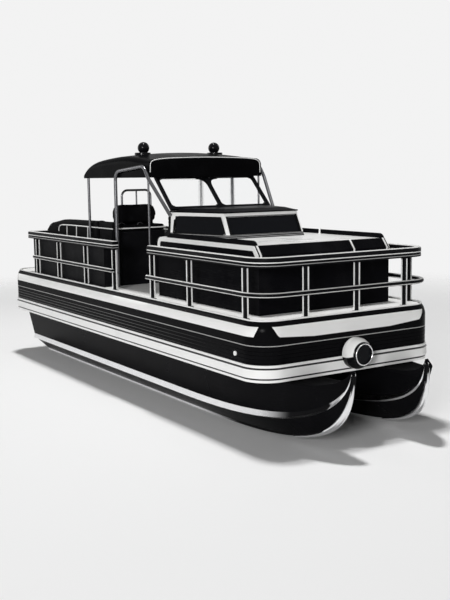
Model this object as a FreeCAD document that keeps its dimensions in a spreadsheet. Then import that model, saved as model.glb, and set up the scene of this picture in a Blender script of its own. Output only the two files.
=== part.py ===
import FreeCAD, Part
import math
import os
import re
import Sketcher

# Pontoon boat with a cuddy cabin, a hardtop on tube hoops, open railings and a tilting outboard motor.
# X runs to the bow, Y to port and Z up, in millimetres. Every rule below measures X from the stern end of
# the deck, Y from the centreline and Z from the floor under the keels. The finished nodes are then shifted
# along X so that the origin lies on the floor under the middle of the whole boat.

SIZES = {
    # Deck body
    "deck_length": 7500, "beam": 2600, "rail_proud": 20, "corner_radius": 300, "deck_top": 1430,
    "skirt_bottom": 778, "skin": 25, "lip_width": 150, "shoulder_drop": 130, "shoulder_inset": 45,
    "shoulder_radius": 210, "floor_thick": 30, "joint": 0.4, "groove_height": 1171, "groove_depth": 6,
    "rib_pitch": 42, "rib_depth": 3, "rib_first": 58,
    # Rub rail and toe rail
    "rub_top": 966, "stripe_top": 922, "stripe_bottom": 826, "rub_web": 8, "toe_height": 16,
    "toe_width": 13, "toe_inset": 59,
    # Frame between deck and pontoons
    "beam_height": 90, "beam_width": 80, "beam_pitch": 760, "beam_first": 420, "beam_count": 9,
    "web_thick": 12, "web_inset": 120, "web_start": 320, "web_end": 6700,
    # Pontoons
    "keel_across": 700, "keel_width": 60, "keel_bar": 20, "chine_height": 238, "chine_outer": 960,
    "chine_inner": 450, "pontoon_top": 790, "pontoon_outer": 1080, "pontoon_inner": 400,
    "transom_set": 150, "bow_start": 5300, "stem_reach": 600, "stem_across": 520, "stem_width": 44,
    "stem_height": 950, "strake_proud": 26, "strake_share": 0.12, "bow_sag": 60, "forefoot_keel": 240,
    "forefoot_chine": 520,
    # Railings
    "fence_across": 1195, "fence_bow": 7395, "fence_stern": 680, "fence_radius": 260,
    "fence_stern_radius": 100, "post_width": 50, "first_post": 1040,
    "second_post": 1932, "third_post": 2938, "fore_post": 5910, "last_post": 7100, "stern_post": 600,
    "bow_post": 600, "bow_post_pitch": 720,
    "rail_top": 2110, "top_rail_height": 110, "top_rail_width": 90, "mid_rail_share": 0.491,
    "mid_rail_radius": 28, "rail_chamfer": 14, "rail_groove": 8, "gap_start": 3930, "gap_end": 4930,
    "fit": 0.3, "running": 0.1, "gate_start": 260, "gate_end": 960, "gate_tube": 19, "gate_bar": 15,
    "gate_gap": 10, "gate_lift": 60, "gate_pin": 8, "gate_lug": 18,
    # Cuddy cabin
    "cabin_aft": 4700, "cabin_front": 7010, "cabin_bevel": 80, "cabin_bevel_drop": 100, "cabin_half": 950,
    "cabin_top": 2200, "cabin_wall": 25, "trim_width": 55, "trim_thick": 8, "door_start": 150,
    "door_width": 600, "door_sill": 1480, "door_height": 610, "door_thick": 22, "door_gap": 6,
    "hinge_radius": 8, "hinge_pin": 4, "hinge_height": 60, "hinge_lug": 20, "hinge_strap": 45,
    "hinge_off": 9,
    # Trunk on the cabin
    "trunk_set": 62, "trunk_length": 1075, "trunk_aft_half": 800, "trunk_front_half": 570,
    "trunk_lean": 150, "trunk_aft_lean": 20, "trunk_rise": 310, "trunk_wall": 25, "window_frame": 48,
    "roof_edge": 16, "roof_crown": 34, "roof_step": 110, "pane": 6, "coaming_rise": 55,
    "coaming_thick": 45, "coaming_set": 170, "coaming_bend": 90,
    # Windscreen
    "screen_half": 790, "screen_rake": 450, "screen_rise": 440, "screen_frame": 42,
    "screen_thick": 36, "screen_pillar": 46,
    # Hardtop
    "top_length": 1870, "top_reach": 362, "top_rear_half": 1000, "top_front_half": 900, "top_rim": 2960,
    "top_crest": 3300, "top_wall": 30, "top_rear_height": 60, "top_front_height": 285, "hoop_tube": 24,
    "hoop_set": 870, "hoop_shoulder": 3045, "hoop_brow": 90, "hoop_front_height": 3110, "hoop_bend": 140,
    "aft_post_set": 90, "fore_post_set": 50, "fore_post_across": 887, "thin_tube": 14,
    # Lamps
    "beacon_set": 750, "beacon_across": 580, "beacon_base": 110, "beacon_ball": 82, "lamp_radius": 176,
    "lamp_length": 170, "lamp_height": 990, "lamp_rim": 18, "lamp_lens": 112, "lamp_band": 70,
    "dot_along": 7027, "dot_height": 1057, "dot_radius": 26,
    # Seats and helm
    "seat_front": 3430, "seat_depth": 330, "seat_near": 870, "seat_far": 150, "seat_top": 2290,
    "seat_back_rise": 292, "grab_rise": 196, "grab_tube": 16, "grab_near": 210, "grab_far": 40,
    "lounge_across": 945, "lounge_depth": 600, "lounge_aft": 745, "lounge_fore": 2850,
    "lounge_seat": 1890, "lounge_back": 2365, "back_thick": 170, "back_slope": 400, "back_fall": 285,
    "back_taper": 60, "low_back": 2070, "side_pad": 60, "side_pad_fore": 3370, "locker_top": 1985,
    "locker_across": 1147, "locker_fore": 3450, "cushion_thick": 130, "port_bench_fore": 3500,
    "port_bench_aft": 1800, "dash_depth": 230, "dash_width": 620, "dash_top": 2330, "dash_rise": 480,
    "wheel_radius": 190, "wheel_tube": 15, "wheel_across": 450, "wheel_rake": 30,
    # Motor
    "pod_reach": 640, "pod_half": 330, "pod_bottom": 330, "pod_fore": 500, "transom_top": 760,
    "tilt_back": 110, "tilt_below": 20, "leg_back": 130, "prop_drop": 720, "prop_radius": 175,
    "tilt_parked": 50, "cowl_lift": 200, "cowl_height": 500, "cowl_length": 560, "cowl_half": 190,
    "cowl_aft": 347, "clamp_half": 150, "clamp_plate": 40, "clamp_drop": 320, "ear_across": 125,
    "ear_half": 25, "tilt_spindle": 20, "steer_post": 33, "yoke_half": 90, "yoke_drop": 260,
    "leg_half": 45, "leg_aft": 110, "leg_fore": 60, "gearcase": 55, "gearcase_aft": 230,
    "gearcase_length": 330, "prop_shaft": 12, "hub_radius": 48, "hub_length": 90, "hub_gap": 8,
    "plate_rise": 200, "plate_thick": 12, "plate_half": 120, "skeg_drop": 190, "blade_width": 110,
    "blade_thick": 10, "blade_pitch": 35,
    # The shift to the middle of the boat, set at the end
    "middle": 0,
}

doc = FreeCAD.newDocument("PontoonBoat")
sheet = doc.addObject("Spreadsheet::Sheet", "Sizes")
for row, (name, number) in enumerate(SIZES.items(), start=1):
    sheet.set(f"A{row}", name)
    sheet.set(f"B{row}", str(number))
    sheet.setAlias(f"B{row}", name)
doc.recompute()

NODES = []
PLANES = {
    "xy": FreeCAD.Rotation(),
    "xz": FreeCAD.Rotation(FreeCAD.Vector(1, 0, 0), 90),
    "yz": FreeCAD.Rotation(FreeCAD.Vector(1, 1, 1), 120),
}
TURNS = {
    "x": FreeCAD.Rotation(FreeCAD.Vector(0, 1, 0), 90),
    "y": FreeCAD.Rotation(FreeCAD.Vector(1, 0, 0), -90),
    "z": FreeCAD.Rotation(),
}
SIDE_FACE = "(beam / 2 - rail_proud)"
BOW_FACE = "(deck_length - rail_proud)"
STERN_FACE = "rail_proud"
RAIL_FOOT = "(rail_top - top_rail_height)"
MID_RAIL = f"(deck_top + mid_rail_share * ({RAIL_FOOT} - deck_top))"
TRUNK_AFT = "(cabin_aft + trunk_set)"
TRUNK_FRONT = f"({TRUNK_AFT} + trunk_length)"
TOP_FRONT = f"({TRUNK_AFT} - top_reach)"
TOP_REAR = f"({TOP_FRONT} - top_length)"


def sized(rule):
    """Write a rule so that each size in it names its cell in the sheet."""
    return re.sub(r"[a-z_]+", lambda word: "Sizes." + word[0] if word[0] in SIZES else word[0], str(rule))


def size(rule):
    return float(sheet.evalExpression(sized(rule)))


def vector(*rules):
    return FreeCAD.Vector(*[size(rule) for rule in rules])


def bind(thing, **rules):
    for name, rule in rules.items():
        thing.setExpression(name, sized(rule))
    return thing


def put(thing, place):
    for axis, rule in zip("xyz", place):
        thing.setExpression("Placement.Base." + axis, sized(rule))
    return thing


def node(label, *pieces):
    """One named node, made of solids that don't touch each other."""
    group = doc.addObject("Part::Compound", label)
    group.Links = list(pieces)
    group.Label = label
    NODES.append(group)
    return group


def block(x, y, z):
    """A box between two rules on each axis."""
    box = doc.addObject("Part::Box", "Block")
    lengths = [f"({high}) - ({low})" for low, high in (x, y, z)]
    bind(box, Length=lengths[0], Width=lengths[1], Height=lengths[2])
    return put(box, (x[0], y[0], z[0]))


def rod(radius, length, start, axis="z"):
    cylinder = doc.addObject("Part::Cylinder", "Rod")
    cylinder.Placement.Rotation = TURNS[axis]
    bind(cylinder, Radius=radius, Height=length)
    return put(cylinder, start)


def ball(radius, centre):
    return put(bind(doc.addObject("Part::Sphere", "Ball"), Radius=radius), centre)


def cut(base, tool):
    result = doc.addObject("Part::Cut", "Cut")
    result.Base, result.Tool = base, tool
    return result


def common(base, tool):
    result = doc.addObject("Part::Common", "Common")
    result.Base, result.Tool = base, tool
    return result


def fuse(*pieces):
    result = doc.addObject("Part::MultiFuse", "Fuse")
    result.Shapes = list(pieces)
    return result


def other_side(piece):
    """The same piece on the other side of the centreline."""
    copy = doc.addObject("Part::Mirroring", "OtherSide")
    copy.Source = piece
    copy.Normal = FreeCAD.Vector(0, 1, 0)
    return copy


def both(piece):
    return [piece, other_side(piece)]


def solid(shape, name="Form"):
    form = doc.addObject("Part::Feature", name)
    form.Shape = shape
    return form


def rounded(base, radius, picked):
    """Round the edges of a piece that the given test picks."""
    doc.recompute()
    fillet = doc.addObject("Part::Fillet", "Rounded")
    fillet.Base = base
    edges = enumerate(base.Shape.Edges, start=1)
    fillet.Edges = [(number, size(radius), size(radius)) for number, edge in edges if picked(edge)]
    return fillet


def along(axis):
    """A test for straight edges that run along one axis."""
    index = "xyz".index(axis)

    def picked(edge):
        if len(edge.Vertexes) != 2 or edge.Curve.TypeId != "Part::GeomLine":
            return False
        way = edge.Vertexes[1].Point - edge.Vertexes[0].Point
        return abs(abs(way[index]) - way.Length) < 1e-6
    return picked


def arc_middle(start, end, radius, turn):
    """The centre of an arc from start to end that turns left (1) or right (-1)."""
    chord = end - start
    middle = (start + end) * 0.5
    reach = math.sqrt(max(radius ** 2 - chord.Length ** 2 / 4, 0))
    left = FreeCAD.Vector(-chord.y, chord.x, 0).normalize()
    return middle + left * reach * turn


def outline(plane, corners):
    """A closed sketch through the corners. One with a radius and a turn starts an arc to the next."""
    sketch = doc.addObject("Sketcher::SketchObject", "Outline")
    sketch.Placement = FreeCAD.Placement(FreeCAD.Vector(), PLANES[plane])
    points = [FreeCAD.Vector(size(corner[0]), size(corner[1]), 0) for corner in corners]
    ends = []
    for index, corner in enumerate(corners):
        start, end = points[index], points[(index + 1) % len(points)]
        if len(corner) == 2:
            sketch.addGeometry(Part.LineSegment(start, end), False)
            ends.append((1, 2))
            continue
        centre = arc_middle(start, end, size(corner[2]), corner[3])
        first, last = (start, end) if corner[3] > 0 else (end, start)
        angles = [math.atan2(point.y - centre.y, point.x - centre.x) for point in (first, last)]
        circle = Part.Circle(centre, FreeCAD.Vector(0, 0, 1), size(corner[2]))
        sketch.addGeometry(Part.ArcOfCircle(circle, angles[0], angles[1]), False)
        ends.append((1, 2) if corner[3] > 0 else (2, 1))
    for index, corner in enumerate(corners):
        following = (index + 1) % len(corners)
        link = Sketcher.Constraint("Coincident", index, ends[index][1], following, ends[following][0])
        sketch.addConstraint(link)
        for way, rule in zip(("DistanceX", "DistanceY"), corner):
            link = Sketcher.Constraint(way, -1, 1, index, ends[index][0], size(rule))
            number = sketch.addConstraint(link)
            sketch.setExpression(f"Constraints[{number}]", sized(rule))
        if len(corner) > 2:
            number = sketch.addConstraint(Sketcher.Constraint("Radius", index, size(corner[2])))
            sketch.setExpression(f"Constraints[{number}]", sized(corner[2]))
    return sketch


def disc(plane, across, up, radius):
    """A round sketch."""
    sketch = doc.addObject("Sketcher::SketchObject", "Disc")
    sketch.Placement = FreeCAD.Placement(FreeCAD.Vector(), PLANES[plane])
    centre = FreeCAD.Vector(size(across), size(up), 0)
    sketch.addGeometry(Part.Circle(centre, FreeCAD.Vector(0, 0, 1), size(radius)), False)
    for way, rule in (("DistanceX", across), ("DistanceY", up)):
        number = sketch.addConstraint(Sketcher.Constraint(way, -1, 1, 0, 3, size(rule)))
        sketch.setExpression(f"Constraints[{number}]", sized(rule))
    number = sketch.addConstraint(Sketcher.Constraint("Radius", 0, size(radius)))
    sketch.setExpression(f"Constraints[{number}]", sized(radius))
    return sketch


def pull(sketch, axis, low, high):
    """Extrude a sketch along an axis from one place to another."""
    body = doc.addObject("Part::Extrusion", "Pull")
    body.Base = sketch
    body.DirMode = "Custom"
    body.Dir = FreeCAD.Vector(*[1 if axis == name else 0 for name in "xyz"])
    body.Solid = True
    bind(body, LengthFwd=f"({high}) - ({low})")
    return put(body, [low if axis == name else "0" for name in "xyz"])


def shaft(plane, axis, corners, low, high):
    return pull(outline(plane, corners), axis, low, high)


def loft(low_corners, low_height, high_corners, high_height):
    """A straight-sided body between two level outlines."""
    body = doc.addObject("Part::Loft", "Loft")
    sections = []
    for corners, height in ((low_corners, low_height), (high_corners, high_height)):
        sections.append(put(outline("xy", corners), ("0", "0", height)))
    body.Sections = sections
    body.Solid = True
    body.Ruled = True
    return body


# Strips round the deck. A strip is a profile whose first axis points outwards from the track. Its four runs
# are port, bow, starboard and stern, each a quarter turn from the last, and a bend follows each run.

DECK = {"side": SIDE_FACE, "bow": BOW_FACE, "stern": STERN_FACE, "radius": "corner_radius",
        "stern_radius": "corner_radius"}
FENCE = {"side": "fence_across", "bow": "fence_bow", "stern": "fence_stern", "radius": "fence_radius",
         "stern_radius": "fence_stern_radius"}


def run_ends(track):
    """Start and end of each run, as rules for X and Y."""
    side, bow, stern = (track[name] for name in ("side", "bow", "stern"))
    fore, aft = f"({bow} - {track['radius']})", f"({stern} + {track['stern_radius']})"
    ahead, behind = f"({side} - {track['radius']})", f"({side} - {track['stern_radius']})"
    return [((aft, side), (fore, side)), ((bow, ahead), (bow, f"-{ahead}")),
            ((fore, f"-{side}"), (aft, f"-{side}")), ((stern, f"-{behind}"), (stern, behind))]


def run(profile, quarter, start, length):
    """One straight run of a strip, from a start point and a length."""
    body = doc.addObject("Part::Extrusion", "Run")
    body.Base = profile
    body.DirMode = "Custom"
    body.Dir = FreeCAD.Vector(1, 0, 0)
    body.Solid = True
    body.Placement.Rotation = FreeCAD.Rotation(FreeCAD.Vector(0, 0, 1), -90 * quarter)
    bind(body, LengthFwd=length)
    return put(body, (start[0], start[1], "0"))


def bend(profile, quarter, track):
    """The quarter turn that follows a run."""
    body = doc.addObject("Part::Revolution", "Bend")
    body.Source = profile
    body.Axis = FreeCAD.Vector(0, 0, 1)
    body.Base = FreeCAD.Vector(0, -size(track["radius" if quarter < 2 else "stern_radius"]), 0)
    body.Angle = -90
    body.Solid = True
    body.Placement.Rotation = FreeCAD.Rotation(FreeCAD.Vector(0, 0, 1), -90 * quarter)
    end = run_ends(track)[quarter][1]
    return put(body, (end[0], end[1], "0"))


def run_between(profile, quarter, track, low="0", high=None):
    """A run that starts and ends a joint short of its bends, or between two places along X on a side."""
    side = track["side"]
    if high is not None:
        if quarter == 0:
            return run(profile, 0, (low, side), f"({high}) - ({low})")
        return run(profile, 2, (high, f"-{side}"), f"({high}) - ({low})")
    start, end = run_ends(track)[quarter]
    if quarter in (0, 2):
        sign = 1 if quarter == 0 else -1
        return run(profile, quarter, (f"{start[0]} + {sign} * joint", start[1]),
                   f"{sign} * ({end[0]} - ({start[0]})) - 2 * joint")
    sign = -1 if quarter == 1 else 1
    return run(profile, quarter, (start[0], f"{start[1]} + {sign} * joint"),
               f"{sign} * ({end[1]} - ({start[1]})) - 2 * joint")


def strip(profile, track):
    return [make for quarter in range(4)
            for make in (run_between(profile, quarter, track), bend(profile, quarter, track))]


def hull_lines():
    """The long lines of the port pontoon: straight along the body, then one curve up to the stem head."""
    head = size("deck_length + stem_reach")
    start = size("bow_start")
    length = head - start
    stations = [start, start + 0.42 * length, start + 0.86 * length, head + 20, head]
    low, chine, top, rise = size("keel_bar"), size("chine_height"), size("pontoon_top"), size("stem_height")
    stem, half = size("stem_across"), size("stem_width") / 2
    keel = size("keel_across")

    def line(across, height, entry, forefoot, tip):
        levels = [(across, height), (across, height), entry, forefoot, tip]
        return [FreeCAD.Vector(x, y, z) for x, (y, z) in zip(stations, levels)]

    lines = {}
    for name, sign in (("keel_in", -1), ("keel_out", 1)):
        edge = sign * size("keel_width") / 2
        lines[name] = line(keel + edge, low, (keel - 10 + edge, low),
                           (stem + 40 + sign * half, size("forefoot_keel")), (stem + sign * half, rise - 60))
    lines["chine_out"] = line(size("chine_outer"), chine, (size("chine_outer") - 10, chine + 20),
                              (stem + 90, size("forefoot_chine")), (stem + half, rise - 30))
    lines["chine_in"] = line(size("chine_inner"), chine, (size("chine_inner"), chine + 20),
                             (stem - 40, size("forefoot_chine")), (stem - half, rise - 30))
    sag = top - size("bow_sag")
    lines["top_out"] = line(size("pontoon_outer"), top, (size("pontoon_outer"), sag),
                            (stem + 190, sag), (stem + half, rise))
    lines["top_in"] = line(size("pontoon_inner"), top, (size("pontoon_inner"), sag),
                           (stem - 90, sag), (stem - half, rise))
    return lines


def long_form(lines):
    """A solid whose section runs straight from the transom to the bow's start, then follows curves."""
    transom = size("transom_set")
    corners = [FreeCAD.Vector(transom, line[0].y, line[0].z) for line in lines]
    section = Part.Face(Part.makePolygon(corners + corners[:1]))
    straight = section.extrude(FreeCAD.Vector(lines[0][0].x - transom, 0, 0))
    curves = []
    for line in lines:
        curve = Part.BezierCurve()
        curve.setPoles(line)
        curves.append(curve.toShape())
    pairs = list(zip(curves, curves[1:] + curves[:1]))
    faces = [Part.makeRuledSurface(first, second) for first, second in pairs]
    for end in (0, -1):
        ring = [line[end] for line in lines]
        faces.append(Part.Face(Part.makePolygon(ring + ring[:1])))
    shell = Part.makeShell(faces)
    shell.sewShape()
    bow = Part.makeSolid(shell)
    if bow.Volume < 0:
        bow.reverse()
    return straight.fuse(bow).removeSplitter().Solids[0]


def blend_lines(first, second, share):
    return [a + (b - a) * share for a, b in zip(first, second)]


def moved(line, shifts):
    return [point + shift for point, shift in zip(line, shifts)]


def pontoons():
    lines = hull_lines()
    order = ("keel_in", "keel_out", "chine_out", "top_out", "top_in", "chine_in")
    port = solid(long_form([lines[name] for name in order]), "PontoonForm")
    node("pontoon_port", port)
    node("pontoon_starboard", other_side(port))

    # The bright keel bar lies flush under the keel flat and turns up over the stem.
    bar = size("keel_bar")
    drops = [FreeCAD.Vector(0, 0, -bar)] * 3 + [FreeCAD.Vector(bar, 0, -bar / 2), FreeCAD.Vector(bar, 0, 0)]
    low_in, low_out = (moved(lines[name], drops) for name in ("keel_in", "keel_out"))
    keel = solid(long_form([low_in, low_out, lines["keel_out"], lines["keel_in"]]), "KeelForm")
    node("keel_bars", *both(keel))

    # A spray strake wraps each chine and follows it up to the stem head.
    proud, share = size("strake_proud"), size("strake_share")
    strakes = []
    for side, sign in (("out", 1), ("in", -1)):
        chine = lines["chine_" + side]
        upper = blend_lines(chine, lines["top_" + side], share)
        lower = blend_lines(chine, lines["keel_" + side], share)
        tips = [FreeCAD.Vector(0, sign * proud * rate, -proud * rate * 0.3) for rate in (1, 1, 1, 0.8, 0.3)]
        strakes.append(solid(long_form([upper, chine, lower, moved(chine, tips)]), "StrakeForm"))
    node("spray_strakes", *[piece for strake in strakes for piece in both(strake)])


def deck():
    # Webs and cross beams carry the floor on the pontoons.
    beam_top = "(deck_top - floor_thick)"
    beam_low = f"({beam_top} - beam_height)"
    reach = f"({SIDE_FACE} - shoulder_inset - skin - 1)"
    beams = []
    for index in range(int(size("beam_count"))):
        start = f"beam_first + {index} * beam_pitch"
        beams.append(block((start, f"{start} + beam_width"), (f"-{reach}", reach), (beam_low, beam_top)))
    node("cross_beams", *beams)
    webs = []
    for low in ("pontoon_inner + web_inset", "pontoon_outer - web_inset"):
        web = block(("web_start", "web_end"), (low, f"{low} + web_thick"), ("pontoon_top - 40", beam_low))
        webs += both(cut(web, doc.getObject("PontoonForm")))
    node("deck_webs", *webs)

    edge = f"({SIDE_FACE} - lip_width - joint)"
    ends = (f"{STERN_FACE} + lip_width + joint", f"{BOW_FACE} - lip_width - joint")
    floor = block(ends, (f"-{edge}", edge), (beam_top, "deck_top"))
    node("deck_floor", rounded(floor, "corner_radius - lip_width - joint", along("z")))

    shoulder = "deck_top - shoulder_drop"

    def groove(height, depth):
        return [("0", f"{height} - {depth}"), (f"-{depth}", height), ("0", f"{height} + {depth}")]

    ribs = []
    for index in (3, 2, 1, 0):
        ribs += groove(f"groove_height - rib_first - {index} * rib_pitch", "rib_depth")
    profile = outline("yz", [
        ("0", "skirt_bottom"), *ribs, *groove("groove_height", "groove_depth"),
        ("0", shoulder, "shoulder_radius", 1), ("-shoulder_inset", "deck_top"), ("-lip_width", "deck_top"),
        ("-lip_width", beam_top), ("-shoulder_inset - skin", beam_top), ("-skin", shoulder),
        ("-skin", "skirt_bottom"),
    ])
    node("hull_skins", *strip(profile, DECK))
    rub = outline("yz", [
        ("0", "skirt_bottom"), ("rub_web", "skirt_bottom"), ("rub_web", "stripe_bottom - 8"),
        ("rail_proud", "stripe_bottom"), ("rail_proud", "stripe_top"), ("rub_web", "stripe_top + 8"),
        ("rub_web", "rub_top"), ("0", "rub_top"),
    ])
    node("rub_rails", *strip(rub, DECK))
    toe_top = "deck_top + toe_height"
    toe = outline("yz", [("-toe_inset", "deck_top"), ("-toe_inset + toe_width", "deck_top"),
                         ("-toe_inset + toe_width", toe_top), ("-toe_inset", toe_top)])
    node("toe_rails", *strip(toe, DECK))


def railings():
    half = "(post_width / 2)"
    head = RAIL_FOOT
    side_posts = ("first_post", "second_post", "third_post", "gap_start - post_width",
                  "gap_end + post_width", "fore_post", "last_post")
    posts = []
    for place in side_posts:
        upright = block((f"{place} - {half}", f"{place} + {half}"),
                        (f"fence_across - {half}", f"fence_across + {half}"), ("deck_top", head))
        posts += both(upright)
    for place in [f"({index} * bow_post_pitch - bow_post)" for index in range(3)]:
        posts.append(block((f"fence_bow - {half}", f"fence_bow + {half}"),
                           (f"{place} - {half}", f"{place} + {half}"), ("deck_top", head)))
    for place in ("(0 - stern_post)", f"gate_start - {half}"):
        posts.append(block((f"fence_stern - {half}", f"fence_stern + {half}"),
                           (f"{place} - {half}", f"{place} + {half}"), ("deck_top", head)))
    hinge = "(gate_end - gate_gap - gate_tube)"
    gate_low, gate_high = "(deck_top + gate_lift)", f"({head} - gate_lug - 16)"
    hanging = block((f"fence_stern - {half}", f"fence_stern + {half}"),
                    ("gate_end", "gate_end + post_width"), ("deck_top", head))
    across = ("fence_stern - gate_tube", "fence_stern + gate_tube")
    reach = (f"{hinge} - gate_tube", "gate_end")
    lugs = [block(across, reach, (level, f"{level} + gate_lug"))
            for level in (f"{gate_low} - 1 - gate_lug", f"{gate_high} + 1")]
    pin_bore = rod("gate_pin + running", f"{head} - deck_top", ("fence_stern", hinge, "deck_top"))
    posts.append(cut(fuse(hanging, *lugs), pin_bore))
    node("fence_posts", *posts)

    wide = "(top_rail_width / 2)"
    top = outline("yz", [
        (f"-{wide}", head), (wide, head), (wide, f"{head} + 0.3 * top_rail_height"),
        (f"{wide} - rail_groove", f"{head} + 0.35 * top_rail_height"),
        (wide, f"{head} + 0.4 * top_rail_height"), (wide, "rail_top - rail_chamfer"),
        (f"{wide} - rail_chamfer", "rail_top"), (f"-{wide} + rail_chamfer", "rail_top"),
        (f"-{wide}", "rail_top - rail_chamfer"),
    ])
    mid = disc("yz", f"{half} + mid_rail_radius + fit", MID_RAIL, "mid_rail_radius")
    ends = run_ends(FENCE)
    aft_end, fore_end = ends[0]
    start, end = ends[3]
    for label, profile in (("fence_top_rails", top), ("fence_mid_rails", mid)):
        capped = profile is top
        aft = f"{aft_end[0]} + joint" if capped else f"first_post - {half}"
        first = f"({start[1]} + joint)" if capped else f"(0 - stern_post - {half})"
        rails = []
        for quarter in (0, 2):
            rails.append(run_between(profile, quarter, FENCE, aft, "gap_start"))
            rails.append(run_between(profile, quarter, FENCE, "gap_end", f"{fore_end[0]} - joint"))
        rails.append(run_between(profile, 1, FENCE))
        rails.append(run(profile, 3, (start[0], first), f"gate_start - {first}"))
        if capped:
            rails.append(run(profile, 3, (start[0], "gate_end"), f"{end[1]} - gate_end - joint"))
        node(label, *rails)
    corners = [bend(top, quarter, FENCE) for quarter in range(4)]
    node("fence_bends", *corners, *[bend(mid, quarter, FENCE) for quarter in (0, 1)])

    # The gate hangs on two pins beside its post, and its bars reach across the gap.
    latch = "(gate_start + 8 + gate_tube)"
    levels = (f"{gate_low} + 1.5 * gate_tube", f"{gate_high} - 1.5 * gate_tube",
              f"({gate_low} + {gate_high}) / 2")
    bars = [rod("gate_bar", f"{hinge} - {latch}", ("fence_stern", latch, level), "y") for level in levels]
    stiles = [rod("gate_tube", f"{gate_high} - {gate_low}", ("fence_stern", place, gate_low))
              for place in (hinge, latch)]
    pins = rod("gate_pin", f"{gate_high} - {gate_low} + 2 * gate_lug",
               ("fence_stern", hinge, f"{gate_low} - gate_lug"))
    node("stern_gate", fuse(*bars, *stiles, pins))


def cabin():
    inner = "(cabin_half - cabin_wall)"
    panel = [("cabin_aft", "deck_top"), ("cabin_front", "deck_top"),
             ("cabin_front", "cabin_top - cabin_bevel_drop"), ("cabin_front - cabin_bevel", "cabin_top"),
             ("cabin_aft + 100", "cabin_top", "100", 1), ("cabin_aft", "cabin_top - 100")]
    side = shaft("xz", "y", panel, inner, "cabin_half")
    node("cabin_sides", *both(side))
    front = [("cabin_front - cabin_wall", "deck_top"), ("cabin_front", "deck_top"),
             ("cabin_front", "cabin_top - cabin_bevel_drop"), ("cabin_front - cabin_bevel", "cabin_top"),
             ("cabin_front - cabin_bevel - cabin_wall * 1.3", "cabin_top"),
             ("cabin_front - cabin_wall", "cabin_top - cabin_bevel_drop - 8")]
    node("cabin_front_panel", shaft("xz", "y", front, f"-{inner}", inner))

    back = "(cabin_front - cabin_bevel - cabin_wall * 1.3)"
    top = block(("cabin_aft + 60", back), (f"-{inner}", inner), ("cabin_top - cabin_wall", "cabin_top"))
    well = shaft("xy", "z", [
        (f"{TRUNK_AFT} + 60", "-trunk_aft_half + 80"), (f"{TRUNK_FRONT} - 90", "-trunk_front_half + 60"),
        (f"{TRUNK_FRONT} - 90", "trunk_front_half - 60"), (f"{TRUNK_AFT} + 60", "trunk_aft_half - 80"),
    ], "cabin_top - 2 * cabin_wall", "cabin_top + cabin_wall")
    node("cabin_deck", cut(top, well))

    wall = ("cabin_aft + 60", "cabin_aft + 60 + cabin_wall")
    bulkhead = block(wall, (f"-{inner}", inner), ("deck_top", "cabin_top - cabin_wall"))
    doorway = block(("cabin_aft", "cabin_aft + 200"), ("door_start", "door_start + door_width"),
                    ("door_sill", "door_sill + door_height"))
    jamb, leaf_edge = "(door_start + door_width)", "(door_start + door_width - door_gap)"
    leaf = block(("cabin_aft + 60", "cabin_aft + 60 + door_thick"), ("door_start + door_gap", leaf_edge),
                 ("door_sill + door_gap", "door_sill + door_height - door_gap"))
    leaf = rounded(leaf, "30", along("x"))

    # Two hinges: a knuckle on the door turns on a pin between two lugs on the bulkhead.
    line = ("(cabin_aft + 60 - hinge_off)", f"({jamb} - door_gap / 2)")
    strap = (line[0], "cabin_aft + 60")
    knuckles, lugs, pins, bores = [], [], [], []
    for share in (0.2, 0.8):
        low = f"(door_sill + {share} * door_height - hinge_height / 2)"
        high = f"({low} + hinge_height)"
        knuckles += [rod("hinge_radius", "hinge_height", (*line, low)),
                     block((line[0], "cabin_aft + 61"), (f"{line[1]} - hinge_strap", line[1]), (low, high))]
        for start in (f"{low} - 1 - hinge_lug", f"{high} + 1"):
            lugs += [rod("hinge_radius", "hinge_lug", (*line, start)),
                     block(strap, (line[1], f"{line[1]} + hinge_strap"), (start, f"{start} + hinge_lug"))]
        pins.append(rod("hinge_pin", "hinge_height + 2 * hinge_lug + 2", (*line, f"{low} - 1 - hinge_lug")))
        bores.append(rod("hinge_pin + running", "hinge_height + 2", (*line, f"{low} - 1")))
    node("cabin_door", cut(fuse(leaf, *knuckles), fuse(*bores)))
    node("cabin_bulkhead", fuse(cut(bulkhead, doorway), *lugs, *pins))

    inset = [("cabin_aft + trim_width", "deck_top - 10"),
             ("cabin_front - trim_width", "deck_top - 10"),
             ("cabin_front - trim_width", "cabin_top - cabin_bevel_drop - trim_width / 2"),
             ("cabin_front - cabin_bevel - trim_width / 2", "cabin_top - trim_width"),
             ("cabin_aft + 100", "cabin_top - trim_width", "100 - trim_width", 1),
             ("cabin_aft + trim_width", "cabin_top - 100")]
    outer_face = "cabin_half + trim_thick"
    band = cut(shaft("xz", "y", panel, "cabin_half", outer_face),
               shaft("xz", "y", inset, "cabin_half - 10", f"{outer_face} + 10"))
    legs = block(("cabin_aft - 10", "cabin_front + 10"), ("cabin_half - 20", f"{outer_face} + 20"),
                 ("deck_top - 20", "cabin_top - cabin_bevel_drop - 60"))
    node("cabin_trim", *both(cut(band, legs)))


def trunk_outline(inset, raised=False):
    """The trunk's plan, shrunk by an inset. The raised plan is the narrower one at the roof."""
    inset = f"({inset})"
    aft = f"({TRUNK_AFT} + trunk_aft_lean)" if raised else TRUNK_AFT
    front = f"({TRUNK_FRONT} - trunk_lean)" if raised else TRUNK_FRONT
    aft_half, front_half = f"(trunk_aft_half - {inset})", f"(trunk_front_half - {inset})"
    if raised:
        aft_half, front_half = f"({aft_half} - 10)", f"({front_half} - 10)"
    return [(f"{aft} + {inset}", f"-{aft_half}"), (f"{front} - {inset}", f"-{front_half}"),
            (f"{front} - {inset}", front_half), (f"{aft} + {inset}", aft_half)]


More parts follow.
